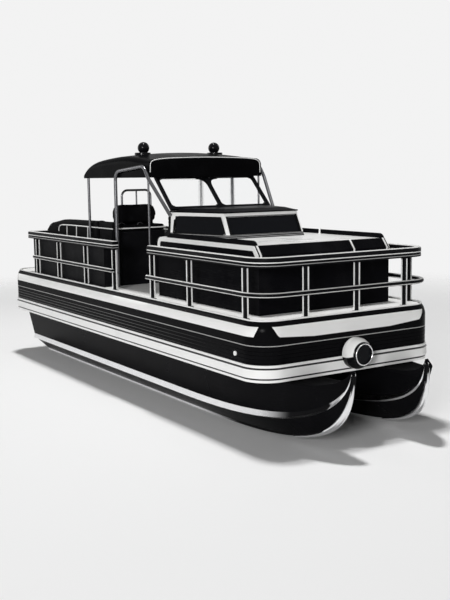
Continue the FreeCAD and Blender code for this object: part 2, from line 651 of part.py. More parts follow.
def trunk():
    low, high = "cabin_top", "(cabin_top + trunk_rise)"

    def shell(outer, inner):
        body = loft(trunk_outline(outer), low, trunk_outline(outer, True), high)
        return cut(body, loft(trunk_outline(inner), low, trunk_outline(inner, True), high))

    def openings(margin):
        sill, head = f"({low} + window_frame + {margin})", f"({high} - window_frame - {margin})"
        edge = f"(window_frame * 1.6 + {margin})"
        side = [(f"{TRUNK_AFT} + {edge}", sill), (f"{TRUNK_FRONT} - 20 - {edge}", sill),
                (f"{TRUNK_FRONT} - trunk_lean + 20 - {edge}", head),
                (f"{TRUNK_AFT} + trunk_aft_lean + {edge}", head)]
        through = shaft("xz", "y", side, "-trunk_aft_half - 50", "trunk_aft_half + 50")
        low_half = f"(trunk_front_half - window_frame - {margin})"
        high_half = f"(trunk_front_half - window_frame - 5 - {margin})"
        front = [(f"-{low_half}", sill), (low_half, sill), (high_half, head), (f"-{high_half}", head)]
        ahead = shaft("yz", "x", front, f"{TRUNK_FRONT} - trunk_lean - 90", f"{TRUNK_FRONT} + 50")
        return side, through, ahead

    through, ahead = openings("0")[1:]
    core = loft(trunk_outline("trunk_wall + 12"), low, trunk_outline("trunk_wall + 12", True), high)
    node("trunk_walls", cut(cut(shell("0", "trunk_wall"), cut(through, core)), cut(ahead, core)))
    through, ahead = openings("fit")[1:]
    skin = shell("trunk_wall / 2 - pane / 2", "trunk_wall / 2 + pane / 2")
    core = loft(trunk_outline("trunk_wall + 12"), low, trunk_outline("trunk_wall + 12", True), high)
    node("trunk_glass", common(skin, fuse(cut(through, core), cut(ahead, core))))

    lip = f"({high} + roof_edge)"
    slab = loft(trunk_outline("-12", True), high, trunk_outline("-12", True), lip)
    crown = loft(trunk_outline("2", True), lip, trunk_outline("roof_step", True), f"{lip} + roof_crown")
    behind = block((TRUNK_AFT, f"{TRUNK_AFT} + 100"), ("-beam", "beam"), (lip, f"{lip} + 4 * roof_crown"))
    node("trunk_roof", fuse(slab, cut(crown, behind)))

    # Coamings edge the deck on both sides of the trunk and curve down to the bevel at the front.
    edge = "(cabin_top + coaming_rise)"
    fore = "(cabin_front - cabin_bevel)"
    rise = [(f"{TRUNK_AFT} + coaming_set", "cabin_top"), (fore, "cabin_top"),
            (fore, f"{edge} - coaming_rise + 2", "coaming_bend", 1), (f"{fore} - coaming_bend + 5", edge),
            (f"{TRUNK_AFT} + coaming_set + coaming_bend", edge)]
    node("deck_coamings", *both(shaft("xz", "y", rise, "cabin_half - coaming_thick", "cabin_half")))


def windscreen():
    """The raked screen stands on the aft edge of the trunk's roof, with a pillar between its two panes."""
    height = math.hypot(size("screen_rake"), size("screen_rise"))
    lean = math.degrees(math.atan2(size("screen_rake"), size("screen_rise")))
    base = size("cabin_top + trunk_rise + roof_edge")
    frame, pillar, half = size("screen_frame"), size("screen_pillar") / 2, size("screen_half")

    def flat(points, low, high):
        face = Part.Face(Part.makePolygon([FreeCAD.Vector(low, y, z) for y, z in points + points[:1]]))
        return face.extrude(FreeCAD.Vector(high - low, 0, 0))

    def opening(sign, slack, low, high):
        points = [(pillar + slack, frame + slack), (half - frame - slack, frame + slack),
                  (half - frame - slack, height - frame - slack), (pillar + slack, height - frame - slack)]
        form = flat([(sign * y, z) for y, z in points], low, high)
        uprights = [edge for edge in form.Edges if abs(edge.tangentAt(edge.FirstParameter).x) > 0.9]
        return form.makeFillet(60, uprights)

    def stood(form):
        form.Placement = FreeCAD.Placement(FreeCAD.Vector(size(TRUNK_AFT), 0, base),
                                           FreeCAD.Rotation(FreeCAD.Vector(0, 1, 0), -lean))
        return form

    thick = size("screen_thick")
    plate = flat([(-half, 0), (half, 0), (half, height), (-half, height)], 0, thick)
    for sign in (1, -1):
        plate = plate.cut(opening(sign, 0, -5, thick + 5))
    below = Part.makeBox(2 * height, 4 * half, height,
                         FreeCAD.Vector(size(TRUNK_AFT) - height, -2 * half, base - height))
    node("windscreen_frame", solid(stood(plate).cut(below), "ScreenForm"))
    middle, pane, slack = thick / 2, size("pane") / 2, size("fit")
    panes = [solid(stood(opening(sign, slack, middle - pane, middle + pane)), "PaneForm")
             for sign in (1, -1)]
    node("windscreen_glass", *panes)


def top_section(x, half, rim, edge, crest):
    """One section of the hardtop: a flat rim, two short sides, round shoulders and a crowned top."""
    radius = 0.7 * (crest - edge)
    slant = radius * (1 - math.sqrt(0.5))

    def point(y, z):
        return FreeCAD.Vector(x, y, z)

    shoulders = []
    for sign in (-1, 1):
        side, bow = point(sign * half, edge), point(sign * (half - slant), edge + radius - slant)
        shoulders.append([side, bow, point(sign * (half - radius), edge + radius)])
    left, right = shoulders
    return Part.Wire([
        Part.makeLine(point(-half, rim), left[0]), Part.Arc(*left).toShape(),
        Part.Arc(left[2], point(0, crest), right[2]).toShape(), Part.Arc(*reversed(right)).toShape(),
        Part.makeLine(right[0], point(half, rim)), Part.makeLine(point(half, rim), point(-half, rim)),
    ])


def top_stations():
    """Places along the hardtop, each with its half width, shoulder height and crest height."""
    rear, front = size(TOP_REAR), size(TOP_FRONT)
    base, crest = size("top_rim"), size("top_crest")
    rise = crest - base
    heights = ((0, base + size("top_rear_height")), (0.07, base + 0.55 * rise), (0.25, base + 0.86 * rise),
               (0.52, crest), (0.8, base + 0.93 * rise), (1, base + size("top_front_height")))
    for share, height in heights:
        half = size("top_rear_half") + (size("top_front_half") - size("top_rear_half")) * share
        yield rear + (front - rear) * share, half, base + 0.55 * (height - base), height


def top_outer():
    sections = [top_section(x, half, size("top_rim"), edge, crest)
                for x, half, edge, crest in top_stations()]
    return Part.makeLoft(sections, True, False)


def top_shell():
    """The crowned outer form, less a cavity under a flatter headliner."""
    base, wall = size("top_rim"), size("top_wall")
    liners = []
    for x, half, edge, crest in top_stations():
        side, shoulder = half - wall, half - wall - 120
        ceiling = edge + 0.72 * (crest - edge) - wall
        x = min(max(x, size(TOP_REAR) + wall), size(TOP_FRONT) - wall)
        points = [(-side, base - wall), (-side, edge - wall * 0.7), (-shoulder, ceiling),
                  (shoulder, ceiling), (side, edge - wall * 0.7), (side, base - wall)]
        liners.append(Part.makePolygon([FreeCAD.Vector(x, y, z) for y, z in points + points[:1]]))
    return top_outer().cut(Part.makeLoft(liners, True, True))


def bent_tube(points, bend_radius, tube_radius):
    """A round tube along straight runs that are joined by tangent bends."""
    edges = []
    start = points[0]
    for before, corner, after in zip(points, points[1:], points[2:]):
        way_in, way_out = (corner - before).normalize(), (after - corner).normalize()
        half_turn = way_in.getAngle(way_out) / 2
        reach = bend_radius * math.tan(half_turn)
        enter, leave = corner - way_in * reach, corner + way_out * reach
        inward = (way_out - way_in).normalize()
        middle = corner + inward * (bend_radius / math.cos(half_turn) - bend_radius)
        edges.append(Part.makeLine(start, enter))
        edges.append(Part.Arc(enter, middle, leave).toShape())
        start = leave
    edges.append(Part.makeLine(start, points[-1]))
    path = Part.Wire(edges)
    ring = Part.Wire(Part.makeCircle(tube_radius, points[0], points[1] - points[0]))
    return path.makePipeShell([ring], True, False)


def hardtop():
    node("hardtop", solid(top_shell(), "TopForm"))

    def across(x):
        share = (x - size(TOP_REAR)) / size("top_length")
        half = size("top_rear_half") + (size("top_front_half") - size("top_rear_half")) * share
        return half + size("hoop_tube") + size("fit")

    leg, front = size(f"{TOP_FRONT} - hoop_set"), size(f"{TOP_FRONT} - hoop_brow")
    foot = FreeCAD.Vector(leg, across(leg), size("deck_top"))
    shoulder = FreeCAD.Vector(leg, across(leg), size("hoop_shoulder"))
    brow = FreeCAD.Vector(front, across(front), size("hoop_front_height"))
    pillar = vector(f"{TRUNK_AFT} + 60", "trunk_aft_half + 2 + hoop_tube + fit",
                    "cabin_top + trunk_rise - 40")
    knee = FreeCAD.Vector(brow.x + 120, brow.y, size("top_rim - 10"))
    turns = [foot, shoulder, brow, knee, pillar]
    hoop = solid(bent_tube(turns, size("hoop_bend"), size("hoop_tube")), "HoopForm")
    node("roof_hoops", *both(hoop))
    aft_across = "top_rear_half - 12 - hoop_tube * 0.8"
    aft = rod("hoop_tube * 0.8", "top_rim - locker_top - fit",
              (f"{TOP_REAR} + aft_post_set", aft_across, "locker_top"))
    fore = rod("thin_tube", "top_rim - deck_top - fit",
               (f"{TOP_FRONT} - fore_post_set", "fore_post_across", "deck_top"))
    node("roof_posts", *both(aft), *both(fore))


def lamps():
    seat = "(top_crest - 20)"
    middle = (f"{TOP_FRONT} - beacon_set", "beacon_across")
    base = rod("beacon_base", "60", (*middle, f"{seat} - 54"))
    neck = rod("beacon_ball * 0.75", "30", (*middle, seat))
    globe = ball("beacon_ball", (*middle, f"{seat} + 26 + beacon_ball * 0.8"))
    crown = solid(top_outer().translated(FreeCAD.Vector(0, 0, size("fit"))), "CrownForm")
    node("roof_lamps", *both(cut(fuse(base, neck, globe), crown)))

    # The bow lamp's can is turned from one profile: a straight band, a round shoulder and a raised bezel.
    bow = f"({BOW_FACE} + rail_proud)"
    bezel = "(lamp_lens + lamp_rim)"
    face = f"({bow} + lamp_length)"
    well = f"({face} - 2.5 * lamp_rim)"
    can = doc.addObject("Part::Revolution", "LampCan")
    can.Source = outline("xz", [
        (bow, "lamp_height"), (bow, "lamp_height - lamp_radius"),
        (f"{bow} + lamp_band", "lamp_height - lamp_radius", "lamp_radius", 1),
        (f"{face} - lamp_rim", f"lamp_height - {bezel}"), (face, f"lamp_height - {bezel}"),
        (face, "lamp_height - lamp_lens"), (well, "lamp_height - lamp_lens"), (well, "lamp_height"),
    ])
    can.Axis = FreeCAD.Vector(1, 0, 0)
    bind(can, **{"Base.z": "lamp_height"})
    can.Angle = 360
    can.Solid = True
    node("bow_lamp_housing", can)
    node("bow_lamp_lens", rod("lamp_lens - fit", "1.5 * lamp_rim", (well, "0", "lamp_height"), "x"))
    dot = rod("dot_radius", "12", ("dot_along", SIDE_FACE, "dot_height"), "y")
    node("side_lamps", *both(dot))


def seats():
    back = "(seat_front - seat_depth)"
    wide = ("-seat_near", "-seat_far")
    node("helm_seat_base", block((back, "seat_front"), wide, ("deck_top", "seat_top - 90")))
    cushion = block((f"{back} + 5", "seat_front + 10"), ("-seat_near - 5", "-seat_far + 5"),
                    ("seat_top - 90 + fit", "seat_top"))
    node("helm_seat_cushion", rounded(cushion, "20", along("z")))
    rest = block((f"{back} + 5", f"{back} + 125"), ("-seat_near + 20", "-seat_far - 20"),
                 ("seat_top + fit", "seat_top + seat_back_rise"))
    node("helm_backrest", rounded(rest, "120", along("x")))
    hoop_y = [size("-seat_near + grab_near"), size("-seat_far - grab_far")]
    rail_x, low = size(f"{back} - grab_tube - 0.3"), size("seat_top - 200")
    high = size("seat_top + seat_back_rise + grab_rise")
    corners = [FreeCAD.Vector(rail_x, hoop_y[0], low), FreeCAD.Vector(rail_x, hoop_y[0], high),
               FreeCAD.Vector(rail_x, hoop_y[1], high), FreeCAD.Vector(rail_x, hoop_y[1], low)]
    hoop = solid(bent_tube(corners, 90, size("grab_tube")), "GrabForm")
    bar = "(grab_tube - 4)"
    centre = "(grab_near - grab_far - seat_near - seat_far) / 2"
    middle = rod(bar, "200 + seat_back_rise + grab_rise",
                 (f"{back} - {bar} - 0.3", centre, "seat_top - 200"))
    node("helm_grab_rail", fuse(hoop, middle))

    # Lockers behind the lounge fill the space up to the rails and carry the roof's aft posts.
    inner = "(lounge_across - lounge_depth)"
    base_top = "lounge_seat - cushion_thick"
    lift = f"{base_top} + fit"
    bench_end = "gate_start - 80"

    def locker(aft, fore, bench_fore):
        side = block((aft, fore), ("lounge_across + 2", "locker_across"), ("deck_top", "locker_top"))
        return fuse(side, block((aft, bench_fore), (inner, "lounge_across + 3"), ("deck_top", base_top)))

    stern = block(("lounge_aft", "lounge_aft + lounge_depth"), (f"-{inner} + 1", bench_end),
                  ("deck_top", base_top))
    node("lounge_bases", other_side(locker("lounge_aft", "locker_fore", "lounge_fore")),
         locker("port_bench_aft", "port_bench_fore", "port_bench_fore"), stern)

    def pad(x, y):
        cushion = rounded(block(x, y, (lift, "lounge_seat")), "40", along("z"))
        return rounded(cushion, "24", lambda edge: edge.BoundBox.ZMin > size("lounge_seat - 1"))

    near, far = f"({inner} + 8)", "(lounge_across - back_thick - 2)"
    node("lounge_seats", pad(("lounge_aft + back_thick + 2", "lounge_fore"), (f"0 - {far}", f"0 - {near}")),
         pad(("port_bench_aft", "port_bench_fore"), (near, far)),
         pad(("lounge_aft + back_thick + 2", "lounge_aft + lounge_depth + 10"), (f"-{inner} + 2", bench_end)))

    # The starboard back falls in a round slope to the stern, and each back leans and narrows upwards.
    def leaning(profile_top):
        return [("lounge_across - back_thick", lift), ("lounge_across", lift), ("lounge_across", profile_top),
                ("lounge_across - back_thick + back_taper", profile_top, "60", 1),
                ("lounge_across - back_thick + 15", f"{profile_top} - 70")]

    falling = [("lounge_aft", lift), ("lounge_fore", lift), ("lounge_fore", "lounge_back"),
               ("lounge_aft + 2 * back_slope", "lounge_back - 15"),
               ("lounge_aft + back_slope", "lounge_back - back_fall / 4", "back_slope * 1.3", 1),
               ("lounge_aft", "lounge_back - back_fall")]
    form = shaft("yz", "x", leaning("lounge_back"), "lounge_aft", "lounge_fore")
    slope = shaft("xz", "y", falling, "lounge_across - back_thick - 10", "lounge_across + 10")
    low = [("lounge_aft", lift), ("lounge_aft + back_thick", lift),
           ("lounge_aft + back_thick - 15", "low_back - 60"),
           ("lounge_aft + back_thick - back_taper", "low_back"), ("lounge_aft", "low_back")]
    side_pad = block(("lounge_fore + 2", "side_pad_fore"),
                     ("lounge_across - side_pad", "lounge_across + 2 - fit"),
                     (f"{lift} + 1", "lounge_back + 5"))
    node("lounge_backs", other_side(common(form, slope)),
         shaft("yz", "x", leaning("lounge_back"), "port_bench_aft", "port_bench_fore"),
         shaft("xz", "y", low, "-lounge_across + back_thick + 3", bench_end),
         other_side(rounded(side_pad, "25", along("x"))))


def helm():
    wall = "(cabin_aft + 60 - fit)"
    near, far = "-wheel_across - dash_width / 2", "-wheel_across + dash_width / 2"
    console = [(wall, "dash_top - dash_rise"), (wall, "dash_top"),
               (f"{wall} - 60", "dash_top"), (f"{wall} - dash_depth", "dash_top - 110"),
               (f"{wall} - dash_depth", "dash_top - 260")]
    desk = shaft("xz", "y", console, near, far)
    centre = vector(f"{wall} - dash_depth - 60", "-wheel_across", "dash_top - 50")
    rim = Part.makeTorus(size("wheel_radius"), size("wheel_tube"))
    hub = Part.makeCylinder(42, 34, FreeCAD.Vector(0, 0, -17))
    stub = Part.makeCylinder(15, 140, FreeCAD.Vector(0, 0, -150))
    wheel = rim.fuse([hub, stub])
    for index in range(3):
        spoke = Part.makeCylinder(10, size("wheel_radius"), FreeCAD.Vector(), FreeCAD.Vector(0, 1, 0))
        spoke.rotate(FreeCAD.Vector(), FreeCAD.Vector(0, 0, 1), 120 * index)
        wheel = wheel.fuse(spoke)
    tip = FreeCAD.Rotation(FreeCAD.Vector(0, 1, 0), -90 + size("wheel_rake"))
    bore = Part.makeCylinder(15 + size("running"), 160, FreeCAD.Vector(0, 0, -160))
    bore.Placement = FreeCAD.Placement(centre, tip)
    node("dash_console", cut(desk, solid(bore, "ColumnBore")))
    wheel.Placement = FreeCAD.Placement(centre, tip)
    node("steering_wheel", solid(wheel, "WheelForm"))


def cowl(swivel, low):
    """The outboard's cowl: a raked side view, drawn across the motor and rounded all round."""
    fore, aft = f"({swivel} + cowl_length - cowl_aft)", f"({swivel} - cowl_aft)"
    top = f"({low} + cowl_height)"
    side = [(f"{fore} - 60", low), (fore, f"{low} + 0.3 * cowl_height"), (f"{fore} - 50", f"{top} - 90"),
            (f"{fore} - 170", top), (f"{aft} + 120", f"{top} - 30"), (aft, f"{top} - 150"),
            (f"{aft} + 15", f"{low} + 0.2 * cowl_height"), (f"{aft} + 70", low)]
    return rounded(shaft("xz", "y", side, "-cowl_half", "cowl_half"), "45",
                   lambda edge: edge.BoundBox.ZMax > size(f"{low} + 1"))


def blades(hub, centre):
    """Three pitched blades round the hub."""
    wheel = hub.Shape.copy()
    thick, wide, foot = size("blade_thick"), size("blade_width"), size("hub_radius") * 0.6
    for index in range(3):
        blade = Part.makeBox(thick, wide, size("prop_radius") - foot,
                             FreeCAD.Vector(-thick / 2, -wide / 2, foot))
        rims = [edge for edge in blade.Edges if abs(edge.tangentAt(0).x) > 0.9]
        blade = blade.makeFillet(0.41 * wide, rims)
        blade.rotate(FreeCAD.Vector(), FreeCAD.Vector(0, 0, 1), size("blade_pitch"))
        blade.rotate(FreeCAD.Vector(), FreeCAD.Vector(1, 0, 0), 120 * index)
        blade.translate(centre)
        wheel = wheel.fuse(blade)
    return wheel


def motor():
    """The outboard is drawn with its leg upright, then tilted about its pin to where it is parked."""
    aft = "(0 - pod_reach)"
    beam_low = "(deck_top - floor_thick - beam_height)"
    pod = [(aft, "pod_bottom + 90"), (f"{aft} + 500", "pod_bottom"), ("pod_fore", "pod_bottom"),
           ("pod_fore", beam_low), ("60", beam_low), ("60", "transom_top"), (aft, "transom_top")]
    node("motor_pod", shaft("xz", "y", pod, "-pod_half", "pod_half"))

    # A clamp hooks over the transom, with an ear on each side for the tilt pin.
    pin, height = f"({aft} - tilt_back)", "(transom_top - tilt_below)"
    wide, head = ("-clamp_half", "clamp_half"), "transom_top + 30"
    plate = block((f"{aft} - clamp_plate", f"{aft} - fit"), wide, ("transom_top - clamp_drop", head))
    hook = block((f"{aft} - 10", f"{aft} + 20"), wide, ("transom_top + fit", head))
    ear = block((f"{pin} - 45", f"{aft} - 20"), ("ear_across - ear_half", "ear_across + ear_half"),
                (f"{height} - 60", f"{height} + 45"))
    bore = rod("tilt_spindle + running", "3 * clamp_half", (pin, "-1.5 * clamp_half", height), "y")
    node("motor_clamp", cut(fuse(plate, hook, *both(ear)), bore))

    # The yoke turns on the tilt pin and holds the leg's post, on which the whole outboard steers.
    swivel = f"({pin} - leg_back)"
    yoke = block((f"{swivel} - 60", f"{pin} + 40"), ("-yoke_half", "yoke_half"),
                 (f"{height} - yoke_drop", f"{height} + 45"))
    spindle = rod("tilt_spindle", "2 * clamp_half + 10", (pin, "-clamp_half - 5", height), "y")
    tunnel = rod("steer_post + running", "3 * yoke_drop", (swivel, "0", f"{height} - 2 * yoke_drop"))
    yoke_form = fuse(cut(yoke, tunnel), spindle)

    low, gear = f"({height} - yoke_drop - 60)", f"({height} - prop_drop)"
    post = rod("steer_post", f"{height} + cowl_lift - fit - {low}", (swivel, "0", low))
    lead, trail = f"{swivel} + leg_fore", f"{swivel} - leg_aft"
    leg = shaft("xy", "z", [(trail, "-leg_half / 3"), (f"{swivel} - 10", "-leg_half"),
                            (lead, "-leg_half / 2"), (lead, "leg_half / 2"),
                            (f"{swivel} - 10", "leg_half"), (trail, "leg_half / 3")],
                gear, f"{height} - yoke_drop - 15")
    plate_low = block((f"{trail} - plate_half", f"{lead} + 30"), ("-plate_half", "plate_half"),
                      (f"{gear} + plate_rise", f"{gear} + plate_rise + plate_thick"))
    case = rod("gearcase", "gearcase_length", (f"{swivel} - gearcase_aft", "0", gear), "x")
    nose = ball("gearcase", (f"{swivel} - gearcase_aft + gearcase_length", "0", gear))
    hub_aft = f"({swivel} - gearcase_aft - hub_gap - hub_length)"
    axle = rod("prop_shaft", "hub_length + 70", (f"{hub_aft} - 12", "0", gear), "x")
    skeg = shaft("xz", "y", [(trail, gear), (f"{swivel} + 40", gear),
                             (f"{swivel} - 60", f"{gear} - skeg_drop"),
                             (f"{swivel} - 150", f"{gear} - skeg_drop")], "-8", "8")
    leg_form = fuse(post, leg, plate_low, case, nose, axle, skeg)
    cowl_form = cowl(swivel, f"({height} + cowl_lift)")
    hub = cut(rod("hub_radius", "hub_length", (hub_aft, "0", gear), "x"),
              rod("prop_shaft + running", "hub_length", (hub_aft, "0", gear), "x"))
    doc.recompute()
    wheel = blades(hub, vector(f"{hub_aft} + hub_length / 2", "0", gear))
    pivot = vector(pin, "0", height)
    parked = FreeCAD.Rotation(FreeCAD.Vector(0, 1, 0), size("tilt_parked"))
    tilted = FreeCAD.Placement(FreeCAD.Vector(), parked, pivot)
    pieces = {"motor_swivel": yoke_form.Shape, "motor_leg": leg_form.Shape, "motor_cowl": cowl_form.Shape,
              "propeller": wheel}
    for label, shape in pieces.items():
        form = shape.copy()
        form.Placement = tilted.multiply(form.Placement)
        node(label, solid(form, label + "_form"))


def check_state(things):
    for thing in things:
        if {"Invalid", "Error"} & set(thing.State):
            raise SystemExit(f"{thing.Name} ({thing.Label}) failed: {thing.State}")


def main():
    pontoons()
    deck()
    railings()
    cabin()
    trunk()
    windscreen()
    hardtop()
    lamps()
    seats()
    helm()
    motor()
    doc.recompute()
    check_state(doc.Objects)
    whole = FreeCAD.BoundBox()
    for group in NODES:
        if group.Shape.isNull() or not group.Shape.Solids:
            raise SystemExit(f"{group.Label} is empty")
        whole.add(group.Shape.optimalBoundingBox())
    sheet.set(sheet.getCellFromAlias("middle"), str(round(whole.Center.x, 1)))
    for group in NODES:
        bind_to_middle(group)
    doc.recompute()
    check_state(doc.Objects)
    for group in NODES:
        if group.Shape.isNull() or not group.Shape.isValid():
            raise SystemExit(f"{group.Label} has no valid shape")
    os.makedirs("parts", exist_ok=True)
    for group in NODES:
        group.Shape.exportStep(f"parts/{group.Label}.step")


def bind_to_middle(group):
    group.setExpression("Placement.Base.x", "-Sizes.middle")


main()
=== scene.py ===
"""Paint, upholstery, trim, fittings and stage of a pontoon boat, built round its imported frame."""

import functools
import math

import bmesh
import bpy
from mathutils import Matrix, Vector
from mathutils.bvhtree import BVHTree


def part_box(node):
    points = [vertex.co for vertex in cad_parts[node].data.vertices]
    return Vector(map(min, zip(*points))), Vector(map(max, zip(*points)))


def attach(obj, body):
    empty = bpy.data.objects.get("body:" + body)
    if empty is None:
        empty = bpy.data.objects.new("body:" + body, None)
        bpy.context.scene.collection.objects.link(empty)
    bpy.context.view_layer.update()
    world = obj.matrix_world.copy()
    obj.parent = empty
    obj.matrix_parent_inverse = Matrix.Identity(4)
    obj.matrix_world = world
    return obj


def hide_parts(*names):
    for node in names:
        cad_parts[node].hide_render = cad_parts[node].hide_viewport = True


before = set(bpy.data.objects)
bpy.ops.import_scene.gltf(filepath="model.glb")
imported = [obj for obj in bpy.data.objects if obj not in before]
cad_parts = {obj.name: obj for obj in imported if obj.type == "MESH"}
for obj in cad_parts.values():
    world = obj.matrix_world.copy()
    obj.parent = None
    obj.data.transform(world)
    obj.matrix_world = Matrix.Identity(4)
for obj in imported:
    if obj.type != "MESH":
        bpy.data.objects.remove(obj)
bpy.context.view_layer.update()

bl_info = {
    "name": "Pontoon boat finish",
    "version": (1, 0, 0),
    "blender": (4, 5, 0),
    "location": "View3D > Sidebar > Boat",
    "description": "Paint, upholstery, trim and fittings of a pontoon boat on its stage",
    "category": "Object",
}

SKIN_LOW, SKIN_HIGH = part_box("hull_skins")
MIDDLE = (SKIN_LOW[0] + SKIN_HIGH[0]) / 2
HALF_LENGTH = (SKIN_HIGH[0] - SKIN_LOW[0]) / 2
HALF_BEAM = SKIN_HIGH[1]
# The rounding of the deck's corners
CORNER = 0.30
RIB_LOW, RIB_PITCH = 0.987, 0.042
DECK_TOP = SKIN_HIGH[2]
MOTOR_TILT = math.radians(50)
# The distance at which doubles merge, and how deep a fitting's foot is sunk
MERGE, SUNK = 1e-5, 0.004
UP = Vector((0, 0, 1))
PORT = Vector((0, 1, 0))
JET = (0.004, 0.004, 0.005)
SOOT = (0.005, 0.005, 0.006)
BRIGHT = ("Polished trim", "bright_metal")


def along(x):
    """A place measured from the stern end of the deck, turned into the frame's X."""
    return x - 0.020 + SKIN_LOW[0]


# Settings of the add-on

COLOUR = {"subtype": "COLOR", "min": 0, "max": 1}


class BoatPaint(bpy.types.PropertyGroup):
    hull: bpy.props.FloatVectorProperty(
        name="Hull", description="Gloss hull paint", default=(0.0038, 0.0038, 0.0044), **COLOUR)
    # The colour of the white bands and trim, and also of the painted highlights on the hull, rails and bow
    # lamp.
    bright: bpy.props.FloatVectorProperty(
        name="Bands", description="White bands and trim", default=(0.86, 0.86, 0.85), **COLOUR)
    deck: bpy.props.FloatVectorProperty(
        name="Deck", description="Deck covering", default=(0.85, 0.845, 0.83), **COLOUR)
    vinyl: bpy.props.FloatVectorProperty(
        name="Upholstery", description="Seat vinyl", default=(0.0045, 0.0045, 0.005), **COLOUR)
    metal: bpy.props.FloatVectorProperty(
        name="Rails", description="Anodised rails", default=(0.80, 0.80, 0.81), **COLOUR)


class BoatSeams(bpy.types.PropertyGroup):
    piping: bpy.props.FloatProperty(
        name="Piping", description="Radius of the seat piping", subtype="DISTANCE", default=0.009,
        min=0.002, max=0.03)
    # The post strips are painted highlights along the edges of the rail posts.
    strip: bpy.props.FloatProperty(
        name="Post strip", description="Width of a bright corner strip of a rail post", subtype="DISTANCE",
        default=0.021, min=0.005, max=0.04)
    guard: bpy.props.FloatProperty(
        name="Guard", description="Swell of a bow guard", subtype="DISTANCE", default=0.034,
        min=0.01, max=0.06)
    swell: bpy.props.FloatProperty(
        name="Swell", description="Most that a cushion swells", subtype="DISTANCE", default=0.022,
        min=0, max=0.06)


def seams():
    return bpy.context.scene.boat_seams


# Shader nodes


class Net:
    """Adds and links the nodes of one tree."""

    def __init__(self, tree):
        self.tree = tree
        tree.nodes.clear()

    def add(self, kind, values=(), **settings):
        """A node with its settings, and its inputs linked to sockets or set to values."""
        node = self.tree.nodes.new(kind)
        for name, value in settings.items():
            setattr(node, name, value)
        for key, value in dict(values).items():
            if isinstance(value, bpy.types.NodeSocket):
                self.tree.links.new(value, node.inputs[key])
            else:
                node.inputs[key].default_value = value
        return node

    def sum(self, operation, *terms, clamp=False):
        node = self.add("ShaderNodeMath", enumerate(terms), operation=operation, use_clamp=clamp)
        return node.outputs[0]

    def plus(self, *terms):
        return self.sum("ADD", *terms)

    def less(self, *terms):
        return self.sum("SUBTRACT", *terms)

    def times(self, *terms):
        return self.sum("MULTIPLY", *terms)

    def most(self, *terms):
        return self.sum("MAXIMUM", *terms)

    def length(self, *parts):
        return self.sum("SQRT", self.plus(*[self.sum("POWER", part, 2.0) for part in parts]))

    def ramp(self, value, low, high, start=0.0, end=1.0, kind="LINEAR"):
        """From start to end while the value goes from low to high."""
        values = {0: value, 1: low, 2: high, 3: start, 4: end}
        return self.add("ShaderNodeMapRange", values, interpolation_type=kind).outputs[0]

    def step(self, value, low, high, start=0.0, end=1.0):
        """A ramp with soft ends."""
        return self.ramp(value, low, high, start, end, "SMOOTHSTEP")

    def mix(self, mask, first, second):
        return self.add("ShaderNodeMix", {0: mask, 6: first, 7: second}, data_type="RGBA").outputs[2]

    def worn(self, mask, colour, factor, lift=0.0):
        """A colour that is lighter or darker where the mask is."""
        return self.mix(mask, tone(colour), tone(colour, factor, lift))

    def place(self):
        return self.add("ShaderNodeTexCoord").outputs["Object"]

    def split(self):
        return self.add("ShaderNodeSeparateXYZ", {0: self.place()}).outputs

    def noise(self, vector, scale, detail=3.0, rough=0.5):
        values = {"Vector": vector, "Scale": scale, "Detail": detail, "Roughness": rough}
        return self.add("ShaderNodeTexNoise", values).outputs[0]

    def stretch(self, vector, scale, turn=(0, 0, 0)):
        values = {"Vector": vector, "Scale": scale, "Rotation": turn}
        return self.add("ShaderNodeMapping", values).outputs[0]

    def effect(self, group, **values):
        return self.add("ShaderNodeGroup", values, node_tree=group()).outputs

    def gloss(self, scale, low, high):
        """An uneven roughness between two values, and a mask of its dull places."""
        return self.effect(wear, Scale=scale, Low=low, High=high)

    def stripe(self, value, low, high, soft):
        return self.effect(band, Value=value, Low=low, High=high, Soft=soft)[0]

    def bump(self, height, distance, strength):
        values = {"Height": height, "Distance": distance, "Strength": strength}
        return self.add("ShaderNodeBump", values).outputs[0]

    def peel(self, scale, distance, strength):
        return self.bump(self.effect(ripple, Scale=scale)[0], distance, strength)


def shared(name, outputs, **inputs):
    """Turn a function that fills a tree into one that gives its node group, built once."""
    def wrap(fill):
        @functools.cache
        def give():
            group = bpy.data.node_groups.new(name, "ShaderNodeTree")
            for label, start in inputs.items():
                socket = group.interface.new_socket(label, in_out="INPUT", socket_type="NodeSocketFloat")
                socket.default_value = start
            for label in outputs:
                group.interface.new_socket(label, in_out="OUTPUT", socket_type="NodeSocketFloat")
            net = Net(group)
            net.add("NodeGroupOutput", zip(outputs, fill(net, net.add("NodeGroupInput").outputs)))
            return group
        return give
    return wrap


@shared("Uneven gloss", ("Roughness", "Mask"), Scale=3.0, Low=0.2, High=0.35)
def wear(net, given):
    """Soft clouds and fine rubbed streaks."""
    place = net.place()
    clouds = net.noise(place, given["Scale"], 4.0)
    streaks = net.noise(net.stretch(place, (2.0, 40.0, 40.0)), given["Scale"], 2.0)
    both = net.plus(net.times(clouds, 0.7), net.times(streaks, 0.3))
    return net.ramp(both, 0.3, 0.7, given["Low"], given["High"]), net.step(both, 0.52, 0.68)


@shared("Paint ripple", ("Height",), Scale=120.0)
def ripple(net, given):
    """The slight orange peel of sprayed paint and moulded gel coat."""
    place = net.place()
    peel = net.noise(place, given["Scale"], 2.0)
    return (net.plus(peel, net.times(net.noise(place, 2.2, 1.0), 3.0)),)


@shared("Vinyl grain", ("Height",), Scale=420.0)
def leather(net, given):
    """Cells with soft creases."""
    place = net.place()
    cells = net.add("ShaderNodeTexVoronoi", {"Vector": place, "Scale": given["Scale"]}, feature="SMOOTH_F1")
    return (net.plus(net.times(cells.outputs[0], -0.5), net.noise(place, 14.0, 4.0)),)


